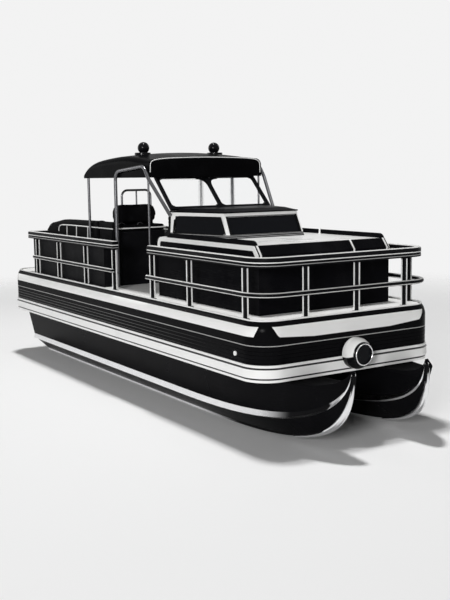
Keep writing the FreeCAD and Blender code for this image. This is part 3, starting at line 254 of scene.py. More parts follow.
@shared("Woven vinyl", ("Height", "Stain"), Scale=60.0)
def weave(net, given):
    """Two crossed sets of threads."""
    place = net.place()
    threads = []
    for turn in (math.pi / 4, -math.pi / 4):
        turned = net.stretch(place, (1, 1, 1), (0, 0, turn))
        values = {"Vector": turned, "Scale": given["Scale"], "Distortion": 0.6, "Detail": 1.0}
        threads.append(net.add("ShaderNodeTexWave", values).outputs[1])
    return net.most(*threads), net.noise(place, 5.0, 4.0)


@shared("Stripe", ("Mask",), Value=0.0, Low=0.0, High=1.0, Soft=0.001)
def band(net, given):
    """One between two values, with soft edges."""
    rise = net.step(given["Value"], given["Low"], net.plus(given["Low"], given["Soft"]))
    fall = net.step(given["Value"], net.less(given["High"], given["Soft"]), given["High"], 1.0, 0.0)
    return (net.times(rise, fall),)


@shared("Drawn metal", ("Height", "Roughness"), Scale=9.0, Base=0.16)
def brushed(net, given):
    """Fine streaks along the boat."""
    place = net.place()
    streaks = net.noise(net.stretch(place, (3.0, 260.0, 260.0)), 1.0, 3.0)
    spots = net.noise(place, given["Scale"], 3.0)
    return streaks, net.plus(given["Base"], net.times(spots, 0.16))


@shared("Deck edge", ("Distance", "Turn"))
def deck_edge(net, given):
    """How far inside the rounded outline of the deck a point lies, and its turn round the nearest corner."""
    place = net.split()
    across = net.sum("ABSOLUTE", place[1])
    lengthways = net.sum("ABSOLUTE", net.less(place[0], MIDDLE))
    past = [net.less(lengthways, HALF_LENGTH - CORNER), net.less(across, HALF_BEAM - CORNER)]
    outer = [net.most(part, 0.0) for part in past]
    inner = net.sum("MINIMUM", net.most(*past), 0.0)
    return net.less(CORNER, net.plus(net.length(*outer), inner)), net.sum("ARCTAN2", *outer)


# Finishes: each function below gives what feeds the surface shader of a material


def tone(colour, factor=1.0, lift=0.0):
    """A colour, or the name of one in the settings, made lighter or darker for a socket."""
    parts = getattr(bpy.context.scene.boat_paint, colour) if isinstance(colour, str) else colour
    return (*[part * factor + lift for part in parts], 1.0)


def look(colour, rough, normal, specular=0.5, metallic=0.0):
    """What feeds a surface shader that isn't glass."""
    return {"Base Color": colour, "Roughness": rough, "Normal": normal, "Specular IOR Level": specular,
            "Metallic": metallic}


def gloss_paint(net, colour, low=0.16, high=0.30, specular=0.025):
    """Sprayed gloss paint with faint clouds in its colour."""
    rough, mask = net.gloss(2.4, low, high)
    return look(net.worn(mask, colour, 1.25, 0.002), rough, net.peel(90.0, 0.0006, 0.35), specular)


def hull_paint_and_highlights(net):
    """Black gloss with painted highlights: a white shoulder band, broken near the corners, for the sky's
    reflection on the rounded shoulder, and pale lines along the side's recess and ridges, those on the ridges
    fading out towards the bow; and a pale deck edge.
    """
    place = net.split()
    height, across = place[2], net.sum("ABSOLUTE", place[1])
    distance, turn = net.effect(deck_edge)
    low_ahead, low_beside, top = 1.232, 1.268, 1.380
    groove_low, groove_high, ribs_low, ribs_high = 1.1655, 1.1765, 0.976, 1.145
    bare_edge, rib_highlight_fade = 0.078, (along(3.4), along(7.2))
    # The white shoulder band is a painted highlight, the sky's reflection on the rounded shoulder; over part
    # of each corner its lower edge rises, a painted break where that reflection turns away.
    low = net.ramp(across, 0.55, 1.05, low_ahead, low_beside)
    slant = net.less(turn, net.times(net.less(height, 1.27), 1.5))
    low = net.plus(low, net.times(net.step(slant, 0.50, 0.52), net.step(turn, 1.05, 1.50, 0.14, 0.0)))
    shoulder = net.stripe(height, low, top, 0.002)
    # Painted highlights: a pale line along the side's recess, and pale lines on its ridges that fade out
    # towards the bow, stand in for light caught there.
    groove_highlight = net.stripe(height, groove_low, groove_high, 0.0015)
    pale = net.times(net.step(distance, bare_edge, bare_edge + 0.002),
                     net.step(height, DECK_TOP - 0.002, DECK_TOP - 0.0005))
    pitch = net.sum("FRACT", net.times(net.less(height, RIB_LOW - RIB_PITCH / 2), 1 / RIB_PITCH))
    lit = net.times(net.stripe(height, ribs_low, ribs_high, 0.001), net.step(place[0], *rib_highlight_fade, 1.0, 0.0))
    rib_highlights = net.times(net.times(net.stripe(pitch, 0.42, 0.58, 0.06), lit), 0.42)
    rough, mask = net.gloss(1.7, 0.14, 0.26)
    base = net.worn(mask, "hull", 1.6)
    # The pale lines of these painted highlights go over the black.
    base = net.mix(net.most(net.times(groove_highlight, 0.8), rib_highlights), base, tone("bright", 0.7))
    # The painted highlight of the shoulder band goes over the hull colour, and the pale deck edge goes over
    # both.
    base = net.mix(pale, net.mix(shoulder, base, tone("bright")), tone("deck"))
    return look(base, net.plus(rough, net.times(pale, 0.35)), net.peel(70.0, 0.0006, 0.3), 0.02)


def pontoon_paint(net):
    """Black gloss with a dull non-slip top."""
    top = net.step(net.split()[2], 0.735, 0.76)
    rough, mask = net.gloss(1.6, 0.16, 0.28)
    grit = net.noise(net.place(), 260.0, 2.0)
    rough = net.sum("ADD", rough, net.times(top, 0.6), clamp=True)
    return look(net.worn(mask, "hull", 1.5), rough, net.bump(net.times(top, grit), 0.0015, 0.6), 0.015)


def bright_until_shaded(net, start, end, inner, dull=0.12):
    """Polished bars that turn black towards the bow, but only further out than an inner line; the black is
    painted shade.
    """
    place = net.split()
    outer = net.step(net.sum("ABSOLUTE", place[1]), inner, inner + 0.02)
    # Painted shade: black over the bars from a place towards the bow onwards.
    painted = net.times(outer, net.step(place[0], along(start), along(end)))
    height, rough = net.effect(brushed, Base=dull)
    return look(net.mix(painted, tone((0.90, 0.90, 0.91)), tone("hull")), rough,
                net.bump(height, 0.0004, 0.2), 0.08, net.less(1.0, painted))


def lamp_can(net):
    """Black lamp body with a painted highlight: a bright patch on the top outboard side of its barrel."""
    place = net.split()
    low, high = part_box("bow_lamp_housing")
    centre = (low[2] + high[2]) / 2
    # Painted highlight: the barrel's top outboard side, behind its face, is coloured bright where light would
    # catch it.
    highlight_top = net.step(net.less(place[2], net.times(place[1], 0.5)), centre + 0.050, centre + 0.062)
    bright = net.times(highlight_top, net.step(place[0], high[0] - 0.030, high[0] - 0.024, 1.0, 0.0))
    rough, mask = net.gloss(5.0, 0.12, 0.22)
    base = net.mix(mask, tone(JET), tone((0.008, 0.008, 0.009)))
    return look(net.mix(bright, base, tone("bright")), rough, net.peel(120.0, 0.0004, 0.3), 0.12)


def rub_stripes(net):
    """The rub rail: a wide white strip between two thin ones on black rubber."""
    height = net.split()[2]
    low, high = [corner[2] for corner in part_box("rub_rails")]
    edges = ((low - 0.001, low + 0.028), (low + 0.047, high - 0.046), (high - 0.029, high + 0.001))
    bands = [net.stripe(height, *pair, 0.0012) for pair in edges]
    rough, mask = net.gloss(3.0, 0.28, 0.45)
    scuffed = net.worn(mask, "bright", 0.93)
    base = net.mix(net.most(net.most(*bands[:2]), bands[2]), tone((0.012, 0.012, 0.013)), scuffed)
    return look(base, rough, net.peel(150.0, 0.0005, 0.4), 0.4)


def rails_with_painted_highlights(net):
    """Black coating with painted highlights: bright and grey lines along the top and mid rails, each with two
    heights and a strength, stand in for light on the rails.
    """
    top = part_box("fence_top_rails")[1][2]
    low, high = [corner[2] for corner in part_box("fence_mid_rails")]
    height, bright = net.split()[2], 0.0
    # Painted highlights: lines along the top rails' top edge and face, and along the mid rails' top and near
    # their bottom.
    for start, end, share in ((top - 0.005, top + 0.001, 1.0), (top - 0.061, top - 0.049, 1.0),
                              (top - 0.094, top - 0.085, 0.45), (high - 0.009, high + 0.001, 1.0),
                              (low + 0.006, low + 0.016, 0.9)):
        bright = net.most(bright, net.times(net.stripe(height, start, end, 0.0015), share))
    rough, mask = net.gloss(4.0, 0.22, 0.4)
    base = net.mix(mask, tone(SOOT), tone((0.009, 0.009, 0.010)))
    return look(net.mix(bright, base, tone("bright")), rough, net.peel(150.0, 0.0004, 0.35), 0.05)


def metal(net, colour, base=0.16, tint=0.75):
    """Drawn or polished metal with streaks and handled spots."""
    height, rough = net.effect(brushed, Base=base)
    spots = net.noise(net.place(), 3.0, 3.0)
    return look(net.mix(spots, tone(colour, tint), tone(colour)), rough, net.bump(height, 0.0004, 0.25),
                metallic=1.0)


def white_gel(net):
    """White gel coat."""
    rough, mask = net.gloss(2.0, 0.22, 0.38)
    return look(net.worn(mask, "bright", 0.95), rough, net.peel(90.0, 0.0005, 0.3), 0.45)


def deck_vinyl(net):
    """Pale woven deck covering with faint seams across."""
    height, stain = net.effect(weave, Scale=70.0)
    pitch = net.sum("FRACT", net.times(net.split()[1], 1 / 0.60))
    seam = net.stripe(pitch, 0.495, 0.505, 0.002)
    worn = net.mix(net.step(stain, 0.35, 0.7), tone("deck", 0.93), tone("deck", 1.06))
    threads = net.mix(net.times(height, 0.35), worn, tone("deck", 0.82))
    return look(net.mix(net.times(seam, 0.6), threads, tone("deck", 0.45)), 0.62,
                net.bump(height, 0.0008, 0.6), 0.3)


def seat_vinyl(net, colour="vinyl", grain=380.0):
    """Grained vinyl with worn patches."""
    rough, mask = net.gloss(6.0, 0.34, 0.55)
    creased = net.bump(net.effect(leather, Scale=grain)[0], 0.0007, 0.55)
    return look(net.worn(mask, colour, 1.6, 0.002), rough, creased, 0.015)


def moulded(net, colour, low=0.38, high=0.58, grain=700.0):
    """Moulded plastic or cast metal with a fine texture."""
    rough, mask = net.gloss(5.0, low, high)
    grained = net.bump(net.noise(net.place(), grain, 2.0), 0.0004, 0.5)
    return look(net.worn(mask, colour, 1.4, 0.003), rough, grained, 0.04)


def dark_glass(net):
    """Nearly black panes."""
    rough, mask = net.gloss(4.0, 0.03, 0.09)
    return {"Base Color": net.mix(mask, tone((0.004, 0.0045, 0.006)), tone((0.008, 0.009, 0.011))),
            "Roughness": rough, "Specular IOR Level": 0.08, "IOR": 1.5}


def clear_glass(net):
    """Clear panes that pass most light and keep a soft shine."""
    rough, mask = net.gloss(5.0, 0.0, 0.03)
    return {"Base Color": net.mix(mask, tone((0.93, 0.96, 0.965)), tone((0.97, 0.985, 0.99))),
            "Roughness": rough, "Transmission Weight": 1.0, "IOR": 1.02, "Alpha": 0.22}


def trunk_finish(net):
    """White frames round the trunk's windows over a black sill with two lines."""
    height, sill = net.split()[2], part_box("trunk_walls")[0][2]
    dark = net.step(height, sill + 0.044, sill + 0.050, 1.0, 0.0)
    line = net.most(*[net.stripe(height, sill + low, sill + low + 0.007, 0.002) for low in (0.012, 0.032)])
    rough, mask = net.gloss(4.0, 0.2, 0.36)
    black = net.mix(net.times(line, 0.55), tone((0.008, 0.008, 0.009)), tone("bright", 0.8))
    white = net.worn(mask, "bright", 0.95)
    return look(net.mix(dark, white, black), rough, net.peel(120.0, 0.0004, 0.3), 0.4)


def cabin_gloss(net):
    """Black gloss panels of the cabin."""
    rough, mask = net.gloss(2.6, 0.18, 0.34)
    return look(net.mix(mask, tone(JET), tone((0.007, 0.007, 0.008))), rough, net.peel(80.0, 0.0006, 0.35),
                0.012)


RECIPES = {
    "Hull paint": (hull_paint_and_highlights,), "Pontoon paint": (pontoon_paint,), "Rub rail strips": (rub_stripes,),
    "Keel bars": (bright_until_shaded, 5.2, 6.3, 0.0, 0.55), "Strakes": (bright_until_shaded, 6.9, 7.45, 0.68),
    "White gel coat": (white_gel,), "Toe rail": (white_gel,), "Post strip": (white_gel,),
    "Cabin strips": (white_gel,), "White piping": (white_gel,), "Lamp dome": (white_gel,),
    "Cabin gloss": (cabin_gloss,), "Trunk frames": (trunk_finish,), "Bow lamp body": (lamp_can,),
    "Dark glass": (dark_glass,), "Clear glass": (clear_glass,), "Deck vinyl": (deck_vinyl,),
    "Rail coating": (rails_with_painted_highlights,), "Post coating": (gloss_paint, SOOT, 0.22, 0.32, 0.05),
    "Roof gloss": (gloss_paint, SOOT, 0.25, 0.4, 0.015), "Screen frame": (gloss_paint, JET, 0.24, 0.38),
    "Hardtop gloss": (gloss_paint, (0.003, 0.003, 0.0035), 0.2, 0.36, 0.01),
    "Lamp housing": (gloss_paint, JET, 0.10, 0.20, 0.12), "Black gloss": (gloss_paint, JET),
    "Motor paint": (gloss_paint, (0.008, 0.008, 0.010), 0.16, 0.30, 0.12),
    "Polished trim": (metal, (0.90, 0.90, 0.91), 0.10, 0.92), "Anodised rail": (metal, "metal", 0.22, 0.85),
    "Dark tube": (metal, (0.20, 0.20, 0.21), 0.22, 0.6),
    "Mill aluminium": (metal, (0.55, 0.56, 0.57), 0.34, 0.8),
    "Propeller steel": (metal, (0.60, 0.60, 0.61), 0.18),
    "Moulded shell": (moulded, SOOT), "Foot plate": (moulded, (0.006, 0.006, 0.007)),
    "Gasket": (moulded, (0.005, 0.005, 0.005)), "Dash": (moulded, (0.007, 0.007, 0.008)),
    "Cast bracket": (moulded, (0.020, 0.020, 0.023), 0.42, 0.6, 300.0),
    "Grained vinyl": (seat_vinyl,), "Wheel grip": (seat_vinyl, (0.02, 0.02, 0.022), 900.0),
}

NODE_FINISHES = {
    "Hull paint": "hull_skins", "Rub rail strips": "rub_rails", "Toe rail": "toe_rails",
    "Pontoon paint": "pontoon_port pontoon_starboard", "Keel bars": "keel_bars", "Strakes": "spray_strakes",
    "Mill aluminium": "cross_beams deck_webs", "Deck vinyl": "deck_floor", "Post coating": "fence_posts",
    "Rail coating": "fence_mid_rails fence_top_rails fence_bends", "Anodised rail": "stern_gate",
    "Dark tube": "roof_hoops roof_posts helm_grab_rail",
    "Cabin gloss": "deck_coamings cabin_sides cabin_front_panel cabin_bulkhead",
    "White gel coat": "cabin_deck cabin_door cabin_trim", "Trunk frames": "trunk_walls",
    "Dark glass": "trunk_glass bow_lamp_lens", "Roof gloss": "trunk_roof",
    "Screen frame": "windscreen_frame", "Clear glass": "windscreen_glass", "Hardtop gloss": "hardtop",
    "Lamp housing": "roof_lamps", "Bow lamp body": "bow_lamp_housing", "Lamp dome": "side_lamps",
    "Moulded shell": "helm_seat_base lounge_bases", "Dash": "dash_console", "Wheel grip": "steering_wheel",
    "Grained vinyl": "helm_seat_cushion helm_backrest lounge_seats lounge_backs", "Black gloss": "motor_pod",
    "Cast bracket": "motor_clamp motor_swivel", "Motor paint": "motor_leg motor_cowl",
    "Propeller steel": "propeller",
}


def new_material(name):
    made = bpy.data.materials.new(name)
    made.use_nodes = True
    return made, Net(made.node_tree)


@functools.cache
def finish(name):
    """The material of that name, made from its recipe at its first use."""
    made, net = new_material(name)
    kind, *values = RECIPES[name]
    shader = net.add("ShaderNodeBsdfPrincipled", kind(net, *values))
    net.add("ShaderNodeOutputMaterial", {0: shader.outputs[0]})
    return made


# Making pieces


def new_piece(name, form, finish_name, slot, body="boat", replaces=(), smooth=40):
    """An object at the origin that rides on a body. Its slot argument is not used."""
    mesh = to_mesh(form) if isinstance(form, bmesh.types.BMesh) else form
    mesh.name = name
    piece = add_object(name, mesh)
    mesh.materials.clear()
    mesh.materials.append(finish(finish_name))
    mesh.shade_smooth()
    mesh.set_sharp_from_angle(angle=math.radians(smooth))
    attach(piece, body)
    if replaces:
        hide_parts(*replaces)
    return piece


def add_object(name, data):
    thing = bpy.data.objects.new(name, data)
    bpy.context.collection.objects.link(thing)
    return thing


def as_shown(piece):
    """An object with its modifiers at work."""
    return piece.evaluated_get(bpy.context.evaluated_depsgraph_get())


def to_mesh(bm, outwards=True):
    """A mesh from a finished bmesh, its faces turned outwards if asked."""
    if outwards:
        bmesh.ops.recalc_face_normals(bm, faces=bm.faces)
    mesh = bpy.data.meshes.new("form")
    bm.to_mesh(mesh)
    bm.free()
    return mesh


def corners(node):
    """The low and the high corner of a CAD node."""
    return [Vector(corner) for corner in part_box(node)]


def bounds(mesh):
    """The low and the high corner of a mesh."""
    return [Vector([pick(vertex.co[axis] for vertex in mesh.vertices) for axis in range(3)])
            for pick in (min, max)]


def node_form(node, merged=True):
    """The mesh of a CAD node, to work on."""
    bm = bmesh.new()
    bm.from_mesh(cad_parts[node].data)
    if merged:
        bmesh.ops.remove_doubles(bm, verts=bm.verts, dist=MERGE)
    return bm


def soften_edges(bm, edges, offset, segments=3):
    """Round some edges off."""
    bmesh.ops.bevel(bm, geom=edges, offset=offset, segments=segments, affect="EDGES", profile=0.5,
                    material=-1)


def add_box(bm, low, high, bevel, segments=3):
    """A box between two corners, with its edges rounded."""
    low, high = Vector(low), Vector(high)
    shift = Matrix.Translation((high + low) / 2) @ Matrix.Diagonal((*(high - low), 1))
    made = bmesh.ops.create_cube(bm, size=1.0, matrix=shift)
    soften_edges(bm, list({edge for vert in made["verts"] for edge in vert.link_edges}), bevel, segments)


def add_disc(bm, centre, direction, radius, depth, segments=32, bevel=0.0, taper=1.0):
    """A round boss with its foot at a point, standing along a direction, its top edge rounded if asked."""
    centre, direction = Vector(centre), Vector(direction)
    turn = direction.to_track_quat("Z", "Y").to_matrix().to_4x4()
    shift = Matrix.Translation(centre) @ turn @ Matrix.Translation((0, 0, depth / 2))
    made = bmesh.ops.create_cone(bm, cap_ends=True, segments=segments, radius1=radius, radius2=radius * taper,
                                 depth=depth, matrix=shift)
    if bevel:
        way = direction.normalized()
        top = (centre + way * depth).dot(way)
        edges = [edge for edge in {e for v in made["verts"] for e in v.link_edges}
                 if all(abs(v.co.dot(way) - top) < MERGE for v in edge.verts)]
        soften_edges(bm, edges, bevel)


def thicken(bm, faces, shift):
    """Draw flat faces out into a solid."""
    made = bmesh.ops.extrude_face_region(bm, geom=faces)
    verts = [part for part in made["geom"] if isinstance(part, bmesh.types.BMVert)]
    bmesh.ops.translate(bm, vec=shift, verts=verts)


def tube(points, radius, closed=False, kind="NURBS", sides=4, sizes=None):
    """A round bar or bead along a line of points, as a mesh, with a size at each point if given."""
    curve = bpy.data.curves.new("tube", "CURVE")
    curve.dimensions = "3D"
    curve.bevel_depth = radius
    curve.bevel_resolution = sides
    curve.use_fill_caps = True
    curve.resolution_u = 10
    spline = curve.splines.new(kind)
    spline.points.add(len(points) - 1)
    for point, place, share in zip(spline.points, points, sizes or [1.0] * len(points)):
        point.co = (*place, 1.0)
        point.radius = share
    spline.use_cyclic_u = closed
    if kind == "NURBS":
        spline.order_u = 3
        spline.use_endpoint_u = True
    holder = add_object("tube", curve)
    mesh = bpy.data.meshes.new_from_object(as_shown(holder))
    bpy.data.objects.remove(holder)
    bpy.data.curves.remove(curve)
    return mesh


def join(meshes):
    """Several meshes as one."""
    bm = bmesh.new()
    for mesh in meshes:
        bm.from_mesh(mesh)
        bpy.data.meshes.remove(mesh)
    return to_mesh(bm, outwards=False)


def inflate(piece, low, high, voxel, soften, swell):
    """Swell a pad by cloth pressure, within a limit and within the space that its solid holds."""
    remesh = piece.modifiers.new("Voxels", "REMESH")
    remesh.mode = "VOXEL"
    remesh.voxel_size = voxel
    rounder = piece.modifiers.new("Rounding", "SMOOTH")
    rounder.factor, rounder.iterations = 0.5, soften
    start = bpy.data.meshes.new_from_object(as_shown(piece))
    piece.modifiers.clear()
    old = piece.data
    start.materials.clear()
    start.materials.append(old.materials[0])
    piece.data = start
    bpy.data.meshes.remove(old)
    shrink, last_frame = 0.45, 14
    for vertex, way in zip(start.vertices, [vertex.normal.copy() for vertex in start.vertices]):
        vertex.co -= way * swell * shrink
    cloth = piece.modifiers.new("Cloth", "CLOTH")
    cloth.settings.use_pressure = True
    cloth.settings.uniform_pressure_force = 4
    cloth.settings.effector_weights.gravity = 0
    cloth.settings.quality = 3
    cloth.point_cache.frame_start, cloth.point_cache.frame_end = 1, last_frame
    for moment in range(1, last_frame + 1):
        bpy.context.scene.frame_set(moment)
    swollen = as_shown(piece).to_mesh()
    moves = [after.co - before.co for before, after in zip(start.vertices, swollen.vertices)]
    for vertex, move in zip(start.vertices, moves):
        vertex.co += move if move.length < swell else move.normalized() * swell
    piece.modifiers.clear()
    bpy.context.scene.frame_set(1)
    for vertex in start.vertices:
        for axis in range(3):
            vertex.co[axis] = min(max(vertex.co[axis], low[axis]), high[axis])
    start.update()


def cushion(name, form, node, voxel=0.014, soften=6):
    """A crowned pad from the form of a solid, smaller at first so that it can swell."""
    low, high = bounds(form)
    piece = new_piece(name, form, "Grained vinyl", "seat_vinyl", replaces=(node,))
    inflate(piece, low, high, voxel, soften, seams().swell)
    piece.data.shade_smooth()


def solids_of(node):
    """The separate solids of a CAD node as meshes, from the stern forwards."""
    bm = node_form(node)
    left, found = set(bm.verts), []
    while left:
        queue = [left.pop()]
        own = set(queue)
        while queue:
            near = {vert for edge in queue.pop().link_edges for vert in edge.verts} & left
            left -= near
            own |= near
            queue.extend(near)
        found.append({vert.index for vert in own})
    meshes = []
    for own in found:
        part = bm.copy()
        bmesh.ops.delete(part, geom=[vert for vert in part.verts if vert.index not in own], context="VERTS")
        meshes.append(to_mesh(part))
    bm.free()
    return sorted(meshes, key=lambda mesh: (round(min(v.co.x for v in mesh.vertices), 2),
                                            min(v.co.y for v in mesh.vertices)))


def surface(node, start, way):
    """Where a line from a point first meets a CAD node, and the surface's direction there."""
    bm = node_form(node, merged=False)
    place, normal = BVHTree.FromBMesh(bm).ray_cast(Vector(start), Vector(way))[:2]
    bm.free()
    if place is None:
        raise RuntimeError(f"Nothing of {node} lies ahead of {tuple(start)}")
    return place, normal


def ring_round(node, way, share):
    """The line round a CAD node with a convex outline, at a share of its extent along a way."""
    bm = node_form(node)
    reach = [vertex.co.dot(way) for vertex in bm.verts]
    level = min(reach) + (max(reach) - min(reach)) * share
    cut = bmesh.ops.bisect_plane(bm, geom=bm.verts[:] + bm.edges[:] + bm.faces[:], plane_co=way * level,
                                 plane_no=way)["geom_cut"]
    points = [part.co.copy() for part in cut if isinstance(part, bmesh.types.BMVert)]
    bm.free()
    centre = sum(points, Vector()) / len(points)
    ahead = PORT.cross(way)
    return sorted(points, key=lambda point: math.atan2(point.y - centre.y, (point - centre).dot(ahead)))


# Operators


class OBJECT_OT_boat_finishes(bpy.types.Operator):
    """Give every CAD node of the boat its finish"""
    bl_idname = "object.boat_finishes"
    bl_label = "Finish hull, cabin and rails"

    def execute(self, context):
        missing = set(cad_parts)
        for name, nodes in NODE_FINISHES.items():
            for node in nodes.split():
                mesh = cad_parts[node].data
                mesh.materials.clear()
                mesh.materials.append(finish(name))
                missing.discard(node)
        if missing:
            raise RuntimeError(f"No finish for {sorted(missing)}")
        return {"FINISHED"}


class OBJECT_OT_boat_lounge(bpy.types.Operator):
    """Upholster the lounge: seats, bolstered backs and their piping"""
    bl_idname = "object.boat_lounge"
    bl_label = "Lounge cushions"

    def execute(self, context):
        for node in ("lounge_seats", "lounge_backs"):
            for index, form in enumerate(solids_of(node)):
                cushion(f"{node[:-1]}_{index}", form, node)
        radius, level, upright = seams().piping, 2.24, 0.17
        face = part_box("lounge_backs")[0][1] - radius * 0.3
        route = ((1.36, 0.11), (1.37, 0.05), (1.45, 0.012), (1.62, 0.004), (2.0, 0.0), (3.345, 0.0))
        beads = [tube([(along(place), face, level - drop) for place, drop in route], radius)]
        for place in (1.70, 2.07, 2.49):
            line = [(along(place), face, level), (along(place - 0.012), face, level - upright)]
            beads.append(tube(line, radius * 0.8, kind="POLY"))
        new_piece("lounge_piping", join(beads), "White piping", "white_gel")
        return {"FINISHED"}


class OBJECT_OT_boat_helm_seat(bpy.types.Operator):
    """Upholster the helm seat and its back, and set the plate behind the back"""
    bl_idname = "object.boat_helm_seat"
    bl_label = "Helm seat"

    def execute(self, context):
        for node in ("helm_seat_cushion", "helm_backrest"):
            cushion(f"{node}_pad", solids_of(node)[0], node, 0.009, 5)
        low, high = corners("helm_seat_cushion")
        edge = high.z - 0.045
        ring = [(low.x, low.y, edge), (high.x, low.y, edge), (high.x, high.y, edge), (low.x, high.y, edge)]
        bead = tube(ring, seams().piping, closed=True, kind="POLY")
        new_piece("helm_seat_piping", bead, "White piping", "white_gel")
        back_low, back_high = corners("helm_backrest")
        start = Vector((back_low.x + 0.020, back_low.y + 0.025, high.z - 0.055))
        end = (start.x + 0.030, back_high.y - 0.025, (back_low.z + back_high.z) / 2)
        plate = bmesh.new()
        add_box(plate, start, end, 0.006)
        for across in (back_low.y + 0.14, back_high.y - 0.14):
            add_disc(plate, (start.x + 0.004, across, high.z - 0.01), (-1, 0, 0), 0.020, 0.012, 24, 0.003)
        new_piece("helm_back_plate", plate, "Moulded shell", "seat_shell")
        return {"FINISHED"}


class OBJECT_OT_boat_seat_loops(bpy.types.Operator):
    """Stand two low strap loops on the front of the helm seat"""
    bl_idname = "object.boat_seat_loops"
    bl_label = "Strap loops"

    def execute(self, context):
        place, level, bar = along(3.33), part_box("helm_seat_cushion")[1][2] - 0.012, 0.0055
        top = level + 0.040
        parts, feet = [], bmesh.new()
        for near, far in ((-0.85, -0.745), (-0.54, -0.465)):
            line = [(place, near, level), (place, near, top), (place, far, top), (place, far, level)]
            parts.append(tube(line, bar))
            for across in (near, far):
                add_disc(feet, (place, across, level - SUNK), UP, 0.012, 0.010, 20, 0.002)
        new_piece("seat_loops", join([*parts, to_mesh(feet)]), "Dark tube", "bright_metal")
        return {"FINISHED"}


class OBJECT_OT_boat_rail_trim(bpy.types.Operator):
    """Set white strips on two opposite corners of each rail post, painted highlights on the edges that bound
    the post in the camera's view, and a foot plate under each
    """
    bl_idname = "object.boat_rail_trim"
    bl_label = "Rail post trim"

    def execute(self, context):
        strips, feet = bmesh.new(), bmesh.new()
        wide, narrow, short = seams().strip, seams().strip * 0.45, 0.012
        proud, flange = Vector((0.0015, 0.0015, -short)), Vector((0.012, 0.012, 0))
        for post in solids_of("fence_posts"):
            low, high = bounds(post)
            if high.z - low.z < 0.3:
                continue
            # Painted highlights: white strips on the post's stern-starboard and bow-port edges.
            add_box(strips, low - proud, (low.x + wide, low.y + narrow, high.z - short), 0.001, 1)
            add_box(strips, (high.x - narrow, high.y - wide * 0.8, low.z + short), high + proud, 0.001, 1)
            add_box(feet, low - flange, Vector((high.x, high.y, low.z + 0.008)) + flange, 0.003, 2)
        new_piece("post_strips", strips, "Post strip", "white_gel")
        new_piece("post_feet", feet, "Foot plate", "rub_rubber")
        return {"FINISHED"}


class OBJECT_OT_boat_bow_guards(bpy.types.Operator):
    """Shape the bright guards on the stems of the pontoons, wide in the middle and thin at both ends"""
    bl_idname = "object.boat_bow_guards"
    bl_label = "Bow guards"

    def execute(self, context):
        guards, steps, thin, setback = [], 14, 0.009, 0.0115
        for keel in solids_of("keel_bars"):
            high, line = bounds(keel)[1], []
            for index in range(steps + 1):
                level = 0.070 + (high.z - 0.082) * (index / steps) ** 1.25
                near = [vertex.co for vertex in keel.vertices if abs(vertex.co.z - level) < 0.025]
                front = max(point.x for point in near)
                stem = [point for point in near if point.x > front - 0.05]
                line.append(Vector((front - setback, sum(point.y for point in stem) / len(stem), level)))
            for _ in range(3):
                line[1:-1] = [(line[at - 1] + line[at] * 2 + line[at + 1]) / 4 for at in range(1, steps)]
            sizes = [thin + seams().guard * math.sin(math.pi * index / steps) ** 1.3
                     for index in range(steps + 1)]
            guards.append(tube(line, 1.0, sides=3, sizes=sizes))
        new_piece("bow_guards", join(guards), *BRIGHT)
        return {"FINISHED"}


class OBJECT_OT_boat_cabin_trim(bpy.types.Operator):
    """Lay white strips over the bevel of the cabin's front and set the staff socket by the port coaming"""
    bl_idname = "object.boat_cabin_trim"
    bl_label = "Cabin trim"

    def execute(self, context):
        face, _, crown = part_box("cabin_front_panel")[1]
        half, wide, seam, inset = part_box("cabin_sides")[1][1], 0.024, 0.41, 0.030
        run = [(face - 0.088, crown), (face - 0.078, crown + 0.004), (face + 0.004, crown - 0.102),
               (face + 0.004, crown - 0.165), (face - 0.004, crown - 0.165), (face - 0.004, crown - 0.104)]
        bm = bmesh.new()
        for across in (seam, half - inset, -half + inset):
            verts = [bm.verts.new((x, across - wide / 2, z)) for x, z in run]
            thicken(bm, [bm.faces.new(verts)], (0, wide, 0))
        new_piece("front_strips", bm, "Cabin strips", "white_gel")

        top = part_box("deck_coamings")[1][2] + 0.012
        foot = surface("cabin_deck", (along(5.76), half - 0.068, top + 0.3), -UP)[0]
        bm = bmesh.new()
        add_disc(bm, foot - UP * 0.002, UP, 0.020, 0.010, 24, 0.002)
        add_disc(bm, foot, UP, 0.013, top - foot.z, 24, 0.002, 0.9)
        add_disc(bm, Vector((foot.x, foot.y, top - 0.008)), UP, 0.016, 0.012, 24, 0.003)
        new_piece("staff_socket", bm, "Cabin strips", "white_gel")
        return {"FINISHED"}


class OBJECT_OT_boat_roof_trim(bpy.types.Operator):
    """Draw the pinstripe bead on the front of the hardtop"""
    bl_idname = "object.boat_roof_trim"
    bl_label = "Hardtop trim"

    def execute(self, context):
        low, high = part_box("hardtop")
        front, inset = high[0], 0.020
        bm = node_form("hardtop", merged=False)
        rim = sorted({(round(v.co.y, 4), round(v.co.z, 4)) for v in bm.verts if v.co.x > front - 0.0005})
        bm.free()
        half = max(point[0] for point in rim)
        crest = max(point[1] for point in rim)
        shoulder = max(point[1] for point in rim if abs(point[0]) > half - 0.004)
        edge, reach = half - inset, crest - shoulder - inset
        side = [(edge, shoulder - 0.07), (edge - 0.008, shoulder + reach * 0.55),
                (half - 0.22, crest - 0.034), (half * 0.45, crest - 0.024)]
        line = [(-edge, low[2] + 0.07), *[(-across, height) for across, height in side],
                (0.0, crest - 0.018), *side[::-1], (edge, low[2] + 0.05)]
        bead = tube([(front, *point) for point in line], 0.0065)
        new_piece("roof_pinstripe", bead, "White piping", "white_gel")
        return {"FINISHED"}


